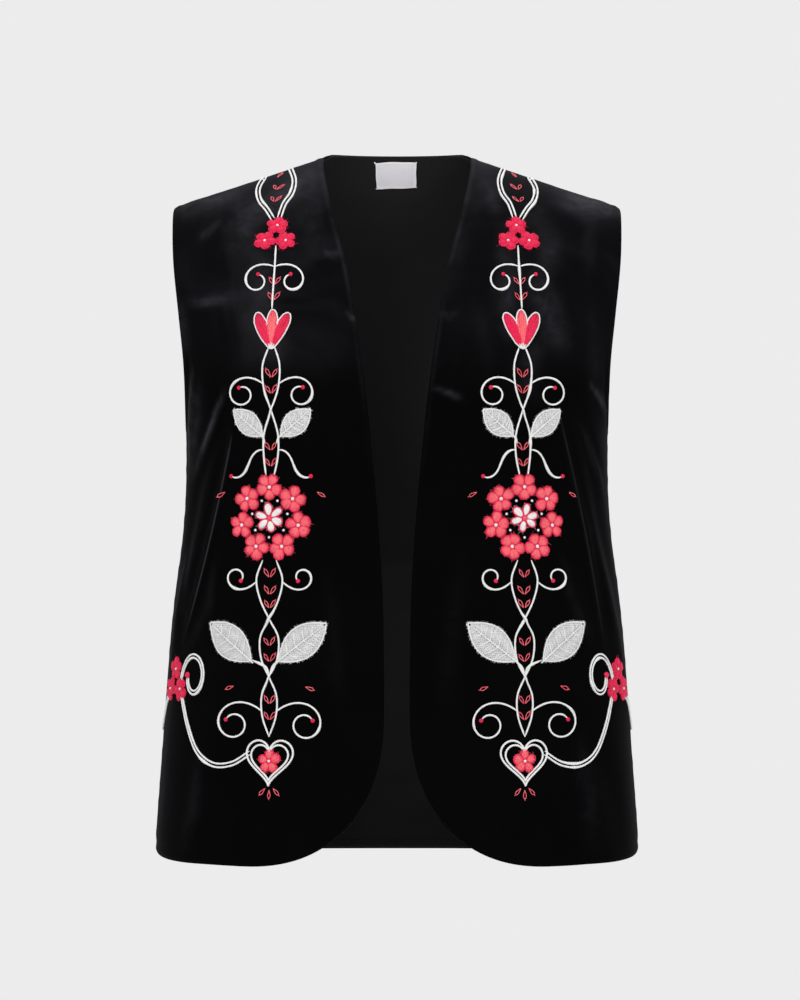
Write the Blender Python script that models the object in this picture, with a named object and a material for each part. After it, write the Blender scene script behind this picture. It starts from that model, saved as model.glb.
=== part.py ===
"""A sleeveless velvet vest with an open front, hollow and filled out as if it were worn.

Metres, Z up. The front faces -Y and x = 0 is the middle of the body. The origin lies between the
two shoulder seams, half way down their slope. Every panel is a thin wall: a grid of points on the
garment's outside, and the same grid moved in by the wall's thickness.
"""

import math
from collections import namedtuple

import bmesh
import bpy
from mathutils import Vector
from mathutils.bvhtree import BVHTree

# Walls and gaps
VELVET_WALL = 0.0020
BACK_VELVET_WALL = 0.0015
LINING_WALL = 0.0010
LABEL_WALL = 0.0010
SEAM_GAP = 0.0003
REST_GAP = 0.0003
RELIEF_GAP = 0.0005

# The garment's outside, level by level. Drop is the distance below the origin.
Section = namedtuple("Section", "drop half_width front_depth back_depth")
SECTIONS = (
    Section(drop=-0.025, half_width=0.2025, front_depth=0.116, back_depth=0.103),
    Section(drop=0.030, half_width=0.2012, front_depth=0.120, back_depth=0.107),
    Section(drop=0.073, half_width=0.1994, front_depth=0.124, back_depth=0.111),
    Section(drop=0.118, half_width=0.1948, front_depth=0.129, back_depth=0.113),
    Section(drop=0.163, half_width=0.1906, front_depth=0.130, back_depth=0.112),
    Section(drop=0.208, half_width=0.1896, front_depth=0.127, back_depth=0.109),
    Section(drop=0.275, half_width=0.1898, front_depth=0.122, back_depth=0.106),
    Section(drop=0.320, half_width=0.1930, front_depth=0.123, back_depth=0.108),
    Section(drop=0.365, half_width=0.1990, front_depth=0.127, back_depth=0.113),
    Section(drop=0.410, half_width=0.2038, front_depth=0.132, back_depth=0.119),
    Section(drop=0.455, half_width=0.2070, front_depth=0.136, back_depth=0.125),
    Section(drop=0.545, half_width=0.2138, front_depth=0.143, back_depth=0.134),
    Section(drop=0.610, half_width=0.2185, front_depth=0.148, back_depth=0.140),
)
RING_POWER = 2.4

# Shoulders and neck
NECK_POINT_X = 0.0665
NECK_POINT_DROP = -0.0245
SHOULDER_SLOPE = 0.345
SHOULDER_BLEND = 0.200
ROUND_OVER = 0.200
ROUND_OVER_POWER = 0.6
BACK_NECK_SINK = 0.033
BACK_NECK_SINK_FADE = 0.050
BACK_NECK_RISE = 0.004

# Armholes
UNDERARM_DROP = 0.225
FRONT_ARMHOLE_SHARE = 0.80
BACK_ARMHOLE_SHARE = 0.72

# The open front edge: half of the gap between the two fronts, level by level
FrontEdge = namedtuple("FrontEdge", "drop half_gap")
FRONT_EDGE = (
    FrontEdge(drop=-0.0245, half_gap=0.0665),
    FrontEdge(drop=-0.0120, half_gap=0.0655),
    FrontEdge(drop=0.0330, half_gap=0.0558),
    FrontEdge(drop=0.0800, half_gap=0.0435),
    FrontEdge(drop=0.1270, half_gap=0.0358),
    FrontEdge(drop=0.1890, half_gap=0.0272),
    FrontEdge(drop=0.2320, half_gap=0.0227),
    FrontEdge(drop=0.3000, half_gap=0.0165),
    FrontEdge(drop=0.3670, half_gap=0.0124),
    FrontEdge(drop=0.4400, half_gap=0.0110),
    FrontEdge(drop=0.4700, half_gap=0.0110),
)

# The rounded cutaway corner where the front edge runs into the hem
HEM_DROP = 0.605
CUTAWAY_TOP = 0.470
CUTAWAY_END_X = 0.132
CUTAWAY_POWER = 2.3
SIDE_HEM_RISE = 0.004
LOWER_ROWS_FROM = 0.400

# Grids
FRONT_COLUMNS = 14
BACK_COLUMNS = 22
SHOULDER_ROWS = (0.0, 0.002, 0.007, 0.016, 0.030, 0.050, 0.076, 0.105, 0.135, 0.163, 0.187, 0.206)
UNDERARM_ROWS = (0.218, 0.225)
BODY_ROWS = (0.240, 0.265, 0.293, 0.321, 0.348, 0.374)
HEM_ROWS = (0.400, 0.428, 0.457, 0.486, 0.515, 0.543, 0.568, 0.588, 0.605)
ROWS = SHOULDER_ROWS + UNDERARM_ROWS + BODY_ROWS + HEM_ROWS

# Soft folds. Across is 0 at the side seam and 1 at the front edge or at the middle of the back.
Fold = namedtuple("Fold", "top bottom across_top across_bottom width height")
LEFT_FOLDS = (
    Fold(top=0.195, bottom=0.500, across_top=0.50, across_bottom=0.07, width=0.060, height=0.0050),
    Fold(top=0.170, bottom=0.420, across_top=0.42, across_bottom=0.10, width=0.050, height=-0.0030),
    Fold(top=0.300, bottom=0.640, across_top=0.62, across_bottom=0.52, width=0.110, height=-0.0035),
)
RIGHT_FOLDS = (
    Fold(top=0.190, bottom=0.470, across_top=0.49, across_bottom=0.10, width=0.060, height=0.0045),
    Fold(top=0.160, bottom=0.440, across_top=0.40, across_bottom=0.08, width=0.050, height=-0.0030),
    Fold(top=0.320, bottom=0.650, across_top=0.66, across_bottom=0.55, width=0.110, height=-0.0030),
)
BACK_LEFT_FOLDS = (
    Fold(top=0.180, bottom=0.520, across_top=0.40, across_bottom=0.16, width=0.070, height=0.0045),
    Fold(top=0.260, bottom=0.660, across_top=0.62, across_bottom=0.52, width=0.100, height=-0.0040),
)
BACK_RIGHT_FOLDS = (
    Fold(top=0.170, bottom=0.540, across_top=0.42, across_bottom=0.14, width=0.070, height=0.0045),
    Fold(top=0.280, bottom=0.650, across_top=0.66, across_bottom=0.58, width=0.100, height=-0.0040),
)

# Lining and label
LINING_INSET = 0.0020
LABEL_WIDTH = 0.039
LABEL_HEIGHT = 0.025
LABEL_TOP_DROP = -0.0235
LABEL_CELLS_ACROSS = 6
LABEL_CELLS_DOWN = 4

# Raised embroidery. Place is x and drop on the front view, turn is from upright, towards the side.
Motif = namedtuple("Motif", "name shape x drop turn length width")
MOTIFS = (
    Motif("bouquet_large", "bouquet", x=0.112, drop=0.300, turn=0, length=0.079, width=0.079),
    Motif("leaf_large_inner", "leaf", x=0.083, drop=0.409, turn=-52, length=0.054, width=0.028),
    Motif("leaf_large_outer", "leaf", x=0.147, drop=0.409, turn=52, length=0.054, width=0.028),
    Motif("leaf_small_inner", "leaf", x=0.089, drop=0.216, turn=-50, length=0.036, width=0.020),
    Motif("leaf_small_outer", "leaf", x=0.131, drop=0.216, turn=50, length=0.036, width=0.020),
    Motif("tulip_chest", "tulip", x=0.110, drop=0.136, turn=0, length=0.036, width=0.033),
    Motif("bouquet_shoulder", "trefoil", x=0.107, drop=0.050, turn=0, length=0.041, width=0.041),
    Motif("bouquet_hip", "trefoil", x=0.196, drop=0.446, turn=0, length=0.044, width=0.044),
)
RELIEF_EDGE = 0.0007
RELIEF_CROWN = 0.0014
RELIEF_CELL = 0.0070
BOUQUET_BLOSSOMS = 7
BOUQUET_RING_SHARE = 0.70
TREFOIL_RING_SHARE = 0.535
TulipPoint = namedtuple("TulipPoint", "out up")
TULIP_OUTLINE = (
    TulipPoint(out=0.00, up=0.00),
    TulipPoint(out=0.26, up=0.05),
    TulipPoint(out=0.43, up=0.26),
    TulipPoint(out=0.42, up=0.55),
    TulipPoint(out=0.50, up=0.90),
    TulipPoint(out=0.24, up=0.70),
    TulipPoint(out=0.00, up=1.00),
)
TULIP_HEART = 0.42

# Colours are linear RGB
VELVET_BLACK = (0.0045, 0.0045, 0.0060)
LINING_BLACK = (0.0110, 0.0110, 0.0120)
LABEL_WHITE = (0.74, 0.73, 0.74)
CORAL_RED = (0.74, 0.055, 0.085)
CRIMSON = (0.58, 0.012, 0.045)
SILVER_WHITE = (0.66, 0.66, 0.67)


def clear_scene():
    for obj in list(bpy.data.objects):
        bpy.data.objects.remove(obj)


def make_material(name, colour, roughness):
    material = bpy.data.materials.new(name)
    material.use_nodes = True
    shader = material.node_tree.nodes["Principled BSDF"]
    shader.inputs["Base Color"].default_value = (*colour, 1.0)
    shader.inputs["Roughness"].default_value = roughness
    shader.inputs["Metallic"].default_value = 0.0
    return material


def read_table(table, column, drop):
    """The value of a column at this drop, on a smooth curve through the table's rows."""
    last = len(table) - 1
    drop = min(max(drop, table[0].drop), table[last].drop)
    row = next(i for i in range(last) if drop <= table[i + 1].drop)

    def slope(i):
        low, high = max(i - 1, 0), min(i + 1, last)
        rise = getattr(table[high], column) - getattr(table[low], column)
        return rise / (table[high].drop - table[low].drop)

    span = table[row + 1].drop - table[row].drop
    t = (drop - table[row].drop) / span
    start, end = getattr(table[row], column), getattr(table[row + 1], column)
    ease = t * t * (3 - 2 * t)
    bend_start = t * (1 - t) ** 2 * span * slope(row)
    bend_end = t * t * (t - 1) * span * slope(row + 1)
    return start + (end - start) * ease + bend_start + bend_end


def shoulder_drop(x):
    """The drop of the shoulder seam at this distance from the middle, level across the neck."""
    return NECK_POINT_DROP + max(0.0, abs(x) - NECK_POINT_X) * SHOULDER_SLOPE


def level_drop(x, row, rise=0.0):
    """The drop of a row: it follows the shoulder's slope at the top and is level lower down.

    Rise lifts the row in the middle of the neck.
    """
    follow = max(0.0, 1 - row / SHOULDER_BLEND) ** 2
    middle = max(0.0, 1 - (x / NECK_POINT_X) ** 2)
    return row + follow * (shoulder_drop(x) - rise * middle)


def round_over(row):
    """How much of its full depth the garment has reached, this far below the shoulder seam."""
    share = min(row / ROUND_OVER, 1.0)
    return math.sin(math.pi / 2 * share**ROUND_OVER_POWER)


def armhole_angle(row, share):
    """The ring's angle at the armhole's edge, which is 0 at the side seam."""
    if row >= UNDERARM_DROP:
        return 0.0
    depth = share * math.sqrt(1 - row / UNDERARM_DROP)
    return math.asin(depth ** (RING_POWER / 2))


def half_gap(drop):
    """Half of the open gap between the fronts, with the cutaway corner below."""
    if drop <= CUTAWAY_TOP:
        return read_table(FRONT_EDGE, "half_gap", drop)
    down = min((drop - CUTAWAY_TOP) / (HEM_DROP - CUTAWAY_TOP), 1.0)
    reach = CUTAWAY_END_X - FRONT_EDGE[-1].half_gap
    return CUTAWAY_END_X - reach * (1 - down**CUTAWAY_POWER) ** (1 / CUTAWAY_POWER)


def hem_drop(x):
    """The drop of the front hem: it rises a little to the side seam and more at the cutaway."""
    if x >= CUTAWAY_END_X:
        out = (x - CUTAWAY_END_X) / (SECTIONS[-1].half_width - CUTAWAY_END_X)
        return HEM_DROP - SIDE_HEM_RISE * out**2
    along = min((CUTAWAY_END_X - x) / (CUTAWAY_END_X - FRONT_EDGE[-1].half_gap), 1.0)
    return CUTAWAY_TOP + (HEM_DROP - CUTAWAY_TOP) * (1 - along**CUTAWAY_POWER) ** (1 / CUTAWAY_POWER)


def cutaway_middle():
    """The point of the cutaway corner where the grid's front edge turns into its hem."""
    share = math.sqrt(0.5) ** (2 / CUTAWAY_POWER)
    x = CUTAWAY_END_X - (CUTAWAY_END_X - FRONT_EDGE[-1].half_gap) * share
    return x, CUTAWAY_TOP + (HEM_DROP - CUTAWAY_TOP) * share


def lower_share(row):
    return min(max((row - LOWER_ROWS_FROM) / (HEM_DROP - LOWER_ROWS_FROM), 0.0), 1.0)


def front_edge_x(row):
    """The front edge's distance from the middle at this row."""
    if row > LOWER_ROWS_FROM:
        middle = cutaway_middle()[1]
        return half_gap(LOWER_ROWS_FROM + lower_share(row) * (middle - LOWER_ROWS_FROM))
    x = NECK_POINT_X
    for _ in range(6):
        x = half_gap(level_drop(x, row))
    return x


def fold_height(folds, across, drop):
    height = 0.0
    for fold in folds:
        if not fold.top < drop < fold.bottom:
            continue
        along = (drop - fold.top) / (fold.bottom - fold.top)
        middle = fold.across_top + (fold.across_bottom - fold.across_top) * along
        fade = math.sin(math.pi * along) ** 0.8
        height += fold.height * fade * math.exp(-(((across - middle) / fold.width) ** 2))
    return height


def front_point(across, row):
    """A point on the outside of a front, for the wearer's side at +x."""
    edge_x = front_edge_x(row)
    start = armhole_angle(row, FRONT_ARMHOLE_SHARE)
    if row > LOWER_ROWS_FROM:
        middle_x = cutaway_middle()[0]
        width = read_table(SECTIONS, "half_width", HEM_DROP)
        turn = math.acos((middle_x / width) ** (RING_POWER / 2)) * across
        hem = hem_drop(width * math.cos(turn) ** (2 / RING_POWER))
        drop = LOWER_ROWS_FROM + lower_share(row) * (hem - LOWER_ROWS_FROM)
    x = NECK_POINT_X
    for _ in range(4):
        if row <= LOWER_ROWS_FROM:
            drop = level_drop(x, row)
        width = read_table(SECTIONS, "half_width", drop)
        end = math.acos(math.cos(start) * (edge_x / width) ** (RING_POWER / 2))
        angle = start + (end - start) * across
        x = width * (math.cos(angle) / math.cos(start)) ** (2 / RING_POWER)
    depth = read_table(SECTIONS, "front_depth", drop) * round_over(row)
    y = -SEAM_GAP / 2 - depth * math.sin(angle) ** (2 / RING_POWER)
    return Vector((x, y, -drop))


def back_point(across, row):
    """A point on the outside of the back, for the wearer's side at +x: across is 1 at the middle."""
    start = armhole_angle(row, BACK_ARMHOLE_SHARE)
    x = NECK_POINT_X
    for _ in range(4):
        drop = level_drop(x, row, BACK_NECK_RISE)
        width = read_table(SECTIONS, "half_width", drop)
        angle = start + (math.pi / 2 - start) * across
        x = width * (max(math.cos(angle), 0.0) / math.cos(start)) ** (2 / RING_POWER)
    drop -= lower_share(row) * SIDE_HEM_RISE * (x / width) ** 4
    sink = BACK_NECK_SINK * max(0.0, 1 - (x / NECK_POINT_X) ** 2)
    sink *= math.exp(-row / BACK_NECK_SINK_FADE)
    depth = read_table(SECTIONS, "back_depth", drop) * round_over(row + sink)
    y = SEAM_GAP / 2 + depth * math.sin(angle) ** (2 / RING_POWER)
    return Vector((x, y, -drop))


def grid_normals(grid):
    """Outward normals of a grid whose rows run down and whose columns run from -x to +x at the front."""
    rows, columns = len(grid), len(grid[0])
    normals = []
    for r in range(rows):
        line = []
        for c in range(columns):
            over = grid[r][min(c + 1, columns - 1)] - grid[r][max(c - 1, 0)]
            down = grid[min(r + 1, rows - 1)][c] - grid[max(r - 1, 0)][c]
            line.append(down.cross(over).normalized())
        normals.append(line)
    return normals


def moved_out(grid, heights):
    """The grid with each point moved along its normal by its own height."""
    normals = grid_normals(grid)
    return [
        [point + normal * height for point, normal, height in zip(*lines)]
        for lines in zip(grid, normals, heights)
    ]


def front_grid(side, folds):
    """Points of a front's outside. Side is +1 for the front at +x and -1 for the one at -x."""
    grid, heights = [], []
    for row in ROWS:
        acrosses = [c / FRONT_COLUMNS for c in range(FRONT_COLUMNS + 1)]
        if side > 0:
            acrosses.reverse()
        points = [front_point(across, row) for across in acrosses]
        heights.append([fold_height(folds, a, -p.z) for a, p in zip(acrosses, points)])
        grid.append([Vector((side * p.x, p.y, p.z)) for p in points])
    return moved_out(grid, heights)


def back_grid():
    """Points of the back's outside, from +x to -x, so that its normals point out at the back."""
    half = BACK_COLUMNS // 2
    to_middle = [(1, c / half, BACK_LEFT_FOLDS) for c in range(half + 1)]
    from_middle = [(-1, c / half, BACK_RIGHT_FOLDS) for c in range(half - 1, -1, -1)]
    grid, heights = [], []
    for row in ROWS:
        points, lifts = [], []
        for side, across, folds in to_middle + from_middle:
            point = back_point(across, row)
            points.append(Vector((side * point.x, point.y, point.z)))
            lifts.append(fold_height(folds, across, -point.z))
        grid.append(points)
        heights.append(lifts)
    return moved_out(grid, heights)


def inset_grid(grid, inset):
    """The grid with its outer lines of points drawn in by about this distance, along the cells."""
    grid = [[point.copy() for point in line] for line in grid]
    rows, columns = len(grid), len(grid[0])
    for line in grid:
        for edge, inner in ((0, 1), (columns - 1, columns - 2)):
            reach = (line[inner] - line[edge]).length
            line[edge] = line[edge].lerp(line[inner], min(inset / reach, 0.6))
    for c in range(columns):
        for edge, inner in ((0, 2), (rows - 1, rows - 2)):
            reach = (grid[inner][c] - grid[edge][c]).length
            grid[edge][c] = grid[edge][c].lerp(grid[inner][c], min(inset / reach, 0.6))
    return grid


def make_object(name, points, faces, material):
    mesh = bpy.data.meshes.new(name)
    mesh.from_pydata(points, [], faces)
    mesh.materials.append(material)
    mesh.update()
    mesh.shade_smooth()
    mesh.set_sharp_from_angle(angle=math.radians(40))
    obj = bpy.data.objects.new(name, mesh)
    bpy.context.scene.collection.objects.link(obj)
    return obj


def wall_faces(rows, columns):
    """Triangles of a closed wall of rows x columns points: its outside, its inside and its rim."""
    count = rows * columns
    faces = []
    for r in range(rows - 1):
        for c in range(columns - 1):
            a, b = r * columns + c, r * columns + c + 1
            d, e = a + columns, b + columns
            faces += [(a, d, e), (a, e, b)]
            faces += [(count + a, count + e, count + d), (count + a, count + b, count + e)]
    top = list(range(columns))
    right = [r * columns + columns - 1 for r in range(rows)]
    bottom = [(rows - 1) * columns + c for c in range(columns - 1, -1, -1)]
    left = [r * columns for r in range(rows - 1, -1, -1)]
    for line in (top, right, bottom, left):
        for a, b in zip(line, line[1:]):
            faces += [(a, b, count + b), (a, count + b, count + a)]
    return faces


def own_side(point, facing):
    """The point, kept on its own side of the seams between the fronts and the back."""
    y = facing * max(facing * point.y, SEAM_GAP / 2)
    return Vector((point.x, y, point.z))


def wall(name, grid, facing, depth, thickness, material):
    """A closed wall whose outside lies this depth inside the grid. Facing is -1 for a front."""
    normals = grid_normals(grid)
    outer = [p - n * depth for line in zip(grid, normals) for p, n in zip(*line)]
    inner = [p - n * (depth + thickness) for line in zip(grid, normals) for p, n in zip(*line)]
    faces = wall_faces(len(grid), len(grid[0]))
    points = [own_side(point, facing) for point in outer + inner]
    return make_object(name, points, faces, material)


def surface_tree(wall_object, inside=False):
    """A search tree of one side of a wall, for laying pieces on it."""
    mesh = wall_object.data
    points = [vertex.co for vertex in mesh.vertices]
    half = len(points) // 2
    one_side = []
    for face in mesh.polygons:
        inner = sum(index >= half for index in face.vertices)
        if inner == (len(face.vertices) if inside else 0):
            one_side.append(tuple(face.vertices))
    return BVHTree.FromPolygons(points, one_side)


def laid_on(tree, origin, direction):
    """The place and outward normal where a line from origin meets the surface."""
    place, normal, _, _ = tree.ray_cast(origin, direction)
    return place, normal


def make_label(lining, material):
    tree = surface_tree(lining, inside=True)
    grid = []
    for r in range(LABEL_CELLS_DOWN + 1):
        drop = LABEL_TOP_DROP + LABEL_HEIGHT * r / LABEL_CELLS_DOWN
        line = []
        for c in range(LABEL_CELLS_ACROSS + 1):
            x = LABEL_WIDTH * (c / LABEL_CELLS_ACROSS - 0.5)
            place, normal = laid_on(tree, Vector((x, 0.0, -drop)), Vector((0.0, 1.0, 0.0)))
            line.append(place + normal * (REST_GAP + LABEL_WALL))
        grid.append(line)
    return wall("neck_label", grid, 1, 0.0, LABEL_WALL, material)


def bouquet_outline(motif):
    """A ring of round blossoms, as a scalloped outline around the middle."""
    blossoms = BOUQUET_BLOSSOMS if motif.shape == "bouquet" else 3
    share = BOUQUET_RING_SHARE if motif.shape == "bouquet" else TREFOIL_RING_SHARE
    ring = motif.width / 2 * share
    radius = motif.width / 2 - ring
    steps = 4 if motif.shape == "bouquet" else 8
    outline = []
    for step in range(blossoms * steps):
        angle = 2 * math.pi * step / (blossoms * steps)
        off = 2 * math.pi / blossoms * ((step % steps) / steps)
        off = min(off, 2 * math.pi / blossoms - off)
        chord = max(radius**2 - (ring * math.sin(off)) ** 2, 0.0)
        reach = ring * math.cos(off) + math.sqrt(chord)
        outline.append((reach * math.sin(angle), reach * math.cos(angle)))
    return outline


def leaf_outline(motif, steps=16):
    """A pointed oval."""
    outline = []
    for step in range(steps):
        angle = 2 * math.pi * step / steps
        bow = math.copysign(math.sin(angle) ** 2, math.sin(angle))
        outline.append((motif.width / 2 * bow, motif.length / 2 * math.cos(angle)))
    return outline


def tulip_outline(motif):
    """A cup with three points, around its heart."""
    right = [(p.out * motif.width, (p.up - TULIP_HEART) * motif.length) for p in TULIP_OUTLINE]
    left = [(-x, y) for x, y in right[-2:0:-1]]
    corners = (right + left)[::-1]
    outline = []
    for (x, y), (next_x, next_y) in zip(corners, corners[1:] + corners[:1]):
        outline += [(x, y), ((x + next_x) / 2, (y + next_y) / 2)]
    return outline


OUTLINES = {
    "bouquet": bouquet_outline,
    "trefoil": bouquet_outline,
    "leaf": leaf_outline,
    "tulip": tulip_outline,
}


def relief_rings(motif):
    """Shares of the outline at which the relief has a ring of points, and their heights."""
    rings = math.ceil(motif.length / 2 / RELIEF_CELL)
    inner = [(ring / rings, RELIEF_CROWN) for ring in range(1, rings)]
    return inner + [(1.0, RELIEF_EDGE)]


def make_motif(motif, side, panel, tree, material):
    """Raised embroidery: its outline laid on the panel's outside, with a low crown."""
    forward = Vector((0.0, 1.0, 0.0))
    start = Vector((side * motif.x, -0.3, -motif.drop))
    centre, normal = laid_on(tree, start, forward)
    over = Vector((0.0, 0.0, 1.0)).cross(normal).normalized()
    up = normal.cross(over).normalized()
    turn = math.radians(motif.turn) * side
    outline = OUTLINES[motif.shape](motif)

    def place(x, y):
        right = x * math.cos(turn) + y * math.sin(turn)
        rise = y * math.cos(turn) - x * math.sin(turn)
        spot = centre + over * right + up * rise
        found, out, _, _ = tree.find_nearest(spot)
        return found, out

    lower, upper = [], []
    found, out = place(0.0, 0.0)
    lower.append(found + out * RELIEF_GAP)
    upper.append(found + out * (RELIEF_GAP + RELIEF_CROWN))
    for share, height in relief_rings(motif):
        for x, y in outline:
            found, out = place(x * share, y * share)
            lower.append(found + out * RELIEF_GAP)
            upper.append(found + out * (RELIEF_GAP + height))
    spokes, rings = len(outline), len(relief_rings(motif))
    count = 1 + spokes * rings
    faces = []
    for s in range(spokes):
        t = (s + 1) % spokes
        faces += [(0, 1 + t, 1 + s), (count, count + 1 + s, count + 1 + t)]
        for ring in range(rings - 1):
            a, b = 1 + ring * spokes + s, 1 + ring * spokes + t
            d, e = a + spokes, b + spokes
            faces += [(a, b, e), (a, e, d)]
            faces += [(count + a, count + e, count + b), (count + a, count + d, count + e)]
        a, b = 1 + (rings - 1) * spokes + s, 1 + (rings - 1) * spokes + t
        faces += [(a, b, count + b), (a, count + b, count + a)]
    name = f"{motif.name}_{'left' if side > 0 else 'right'}"
    points = upper + lower
    return make_object(name, points, faces, material)


def face_outwards(obj):
    """Turns the faces round if the closed mesh is inside out."""
    body = bmesh.new()
    body.from_mesh(obj.data)
    if body.calc_volume(signed=True) < 0:
        bmesh.ops.reverse_faces(body, faces=body.faces)
        body.to_mesh(obj.data)
    body.free()


def main():
    clear_scene()
    velvet = make_material("velvet_black", VELVET_BLACK, 0.9)
    lining_cloth = make_material("lining_black", LINING_BLACK, 0.7)
    label_cloth = make_material("label_white", LABEL_WHITE, 0.6)
    thread = {
        "bouquet_large": make_material("thread_coral", CORAL_RED, 0.6),
        "bouquet_shoulder": make_material("thread_crimson", CRIMSON, 0.6),
        "leaf": make_material("thread_silver", SILVER_WHITE, 0.5),
    }
    fronts = {}
    for side, name, folds in ((1, "front_left", LEFT_FOLDS), (-1, "front_right", RIGHT_FOLDS)):
        fronts[side] = wall(name, front_grid(side, folds), -1, 0.0, VELVET_WALL, velvet)
    back_outside = back_grid()
    back = wall("back", back_outside, 1, 0.0, BACK_VELVET_WALL, velvet)
    lining_depth = BACK_VELVET_WALL + REST_GAP
    lining_outside = inset_grid(back_outside, LINING_INSET)
    lining = wall("back_lining", lining_outside, 1, lining_depth, LINING_WALL, lining_cloth)
    for panel in (*fronts.values(), back, lining):
        face_outwards(panel)
    label = make_label(lining, label_cloth)
    pieces = [label]
    for side, panel in fronts.items():
        tree = surface_tree(panel)
        for motif in MOTIFS:
            kind = "leaf" if motif.shape == "leaf" else motif.name
            colour = thread.get(kind, thread["bouquet_shoulder"])
            pieces.append(make_motif(motif, side, panel, tree, colour))
    for piece in pieces:
        face_outwards(piece)


main()
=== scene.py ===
# A velvet vest with an open front, filled out as if it were worn, with raised embroidery.
# Metres, z up, the front faces -y, and the origin lies between the two shoulder seams.
import math

import bpy
import numpy as np
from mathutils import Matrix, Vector
from mathutils.bvhtree import BVHTree


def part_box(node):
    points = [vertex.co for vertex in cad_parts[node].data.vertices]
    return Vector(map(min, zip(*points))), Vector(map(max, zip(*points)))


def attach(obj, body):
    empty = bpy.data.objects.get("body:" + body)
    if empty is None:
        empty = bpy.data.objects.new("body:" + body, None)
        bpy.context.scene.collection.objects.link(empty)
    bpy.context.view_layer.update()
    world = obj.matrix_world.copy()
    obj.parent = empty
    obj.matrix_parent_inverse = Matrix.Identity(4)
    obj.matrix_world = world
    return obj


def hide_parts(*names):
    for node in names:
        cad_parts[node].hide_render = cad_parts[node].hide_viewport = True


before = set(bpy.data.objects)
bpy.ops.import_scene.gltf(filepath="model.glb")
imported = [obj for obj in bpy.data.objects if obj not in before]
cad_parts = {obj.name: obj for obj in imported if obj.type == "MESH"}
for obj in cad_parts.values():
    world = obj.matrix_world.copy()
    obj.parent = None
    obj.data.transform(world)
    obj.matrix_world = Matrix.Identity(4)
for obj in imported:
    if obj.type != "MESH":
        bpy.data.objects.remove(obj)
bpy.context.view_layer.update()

print("frame loaded:", len(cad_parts), "nodes")

# The camera, the lights and the pale studio
studio = {
    "cameraPlace": (0.0027, -5.1, -0.284),
    "lens": 204.0,
    "backdropGrey": 0.839,
    "roomLight": 0.62,
    "floorHeight": -1.5,
    "floorReach": 8.0,
    "floorGrey": 0.30,
    "floorGlow": 0.665,
}
lights = {
    "key": {"place": (-1.1, -2.2, 1.7), "aim": (0.0, 0.0, -0.25), "size": (1.6, 1.6), "power": 37.0},
    "fill": {"place": (1.5, -2.4, 0.9), "aim": (0.0, 0.0, -0.30), "size": (1.6, 2.0), "power": 23.0},
    "crown": {"place": (0.0, 0.3, 1.6), "aim": (0.0, 0.0, -0.05), "size": (1.8, 1.0), "power": 10.0},
    "behind": {"place": (0.9, 2.6, 1.3), "aim": (0.0, 0.0, -0.30), "size": (1.8, 1.8), "power": 22.0},
}


def makeObject(name, data):
    obj = bpy.data.objects.new(name, data)
    bpy.context.scene.collection.objects.link(obj)
    return obj


def opaque(colour):
    return (*colour, 1.0)


def setInputs(node, values):
    for socket, value in values.items():
        node.inputs[socket].default_value = value


def makeCamera():
    data = bpy.data.cameras.new("camera")
    data.lens = studio["lens"]
    data.sensor_width = 36.0
    data.clip_end = 60.0
    camera = makeObject("camera", data)
    camera.location = studio["cameraPlace"]
    camera.rotation_euler = (math.pi / 2, 0.0, 0.0)
    bpy.context.scene.camera = camera


def makeLight(name, place, aim, size, power):
    data = bpy.data.lights.new(name, "AREA")
    data.shape = "RECTANGLE"
    data.size, data.size_y = size
    data.energy = power
    light = makeObject(name, data)
    light.location = place
    light.rotation_euler = (Vector(aim) - Vector(place)).to_track_quat("-Z", "Y").to_euler()
    light.visible_camera = False


def makeFloor():
    reach, low = studio["floorReach"], studio["floorHeight"]
    corners = [(-reach, -reach, low), (reach, -reach, low), (reach, reach, low), (-reach, reach, low)]
    mesh = bpy.data.meshes.new("floor")
    mesh.from_pydata(corners, [], [(0, 1, 2, 3)])
    material = bpy.data.materials.new("floor")
    material.use_nodes = True
    setInputs(material.node_tree.nodes["Principled BSDF"], {
        "Base Color": opaque([studio["floorGrey"]] * 3),
        "Roughness": 0.9,
        "Specular IOR Level": 0.0,
        "Emission Color": opaque([1.0] * 3),
        "Emission Strength": studio["floorGlow"],
    })
    mesh.materials.append(material)
    makeObject("floor", mesh)


def makeRoom():  # an even pale backdrop, whose light on the cloth is softer than it looks
    world = bpy.data.worlds.new("pale room")
    world.use_nodes = True
    nodes, links = world.node_tree.nodes, world.node_tree.links
    setInputs(nodes["Background"], {"Color": opaque([studio["backdropGrey"]] * 3)})
    path = nodes.new("ShaderNodeLightPath")
    strength = nodes.new("ShaderNodeMapRange")
    setInputs(strength, {"To Min": studio["roomLight"]})
    links.new(path.outputs["Is Camera Ray"], strength.inputs["Value"])
    links.new(strength.outputs["Result"], nodes["Background"].inputs["Strength"])
    bpy.context.scene.world = world


bpy.context.scene.view_settings.view_transform = "Standard"
makeCamera()
makeFloor()
makeRoom()
for name, light in lights.items():
    makeLight(name, **light)
print("studio ready")


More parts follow.
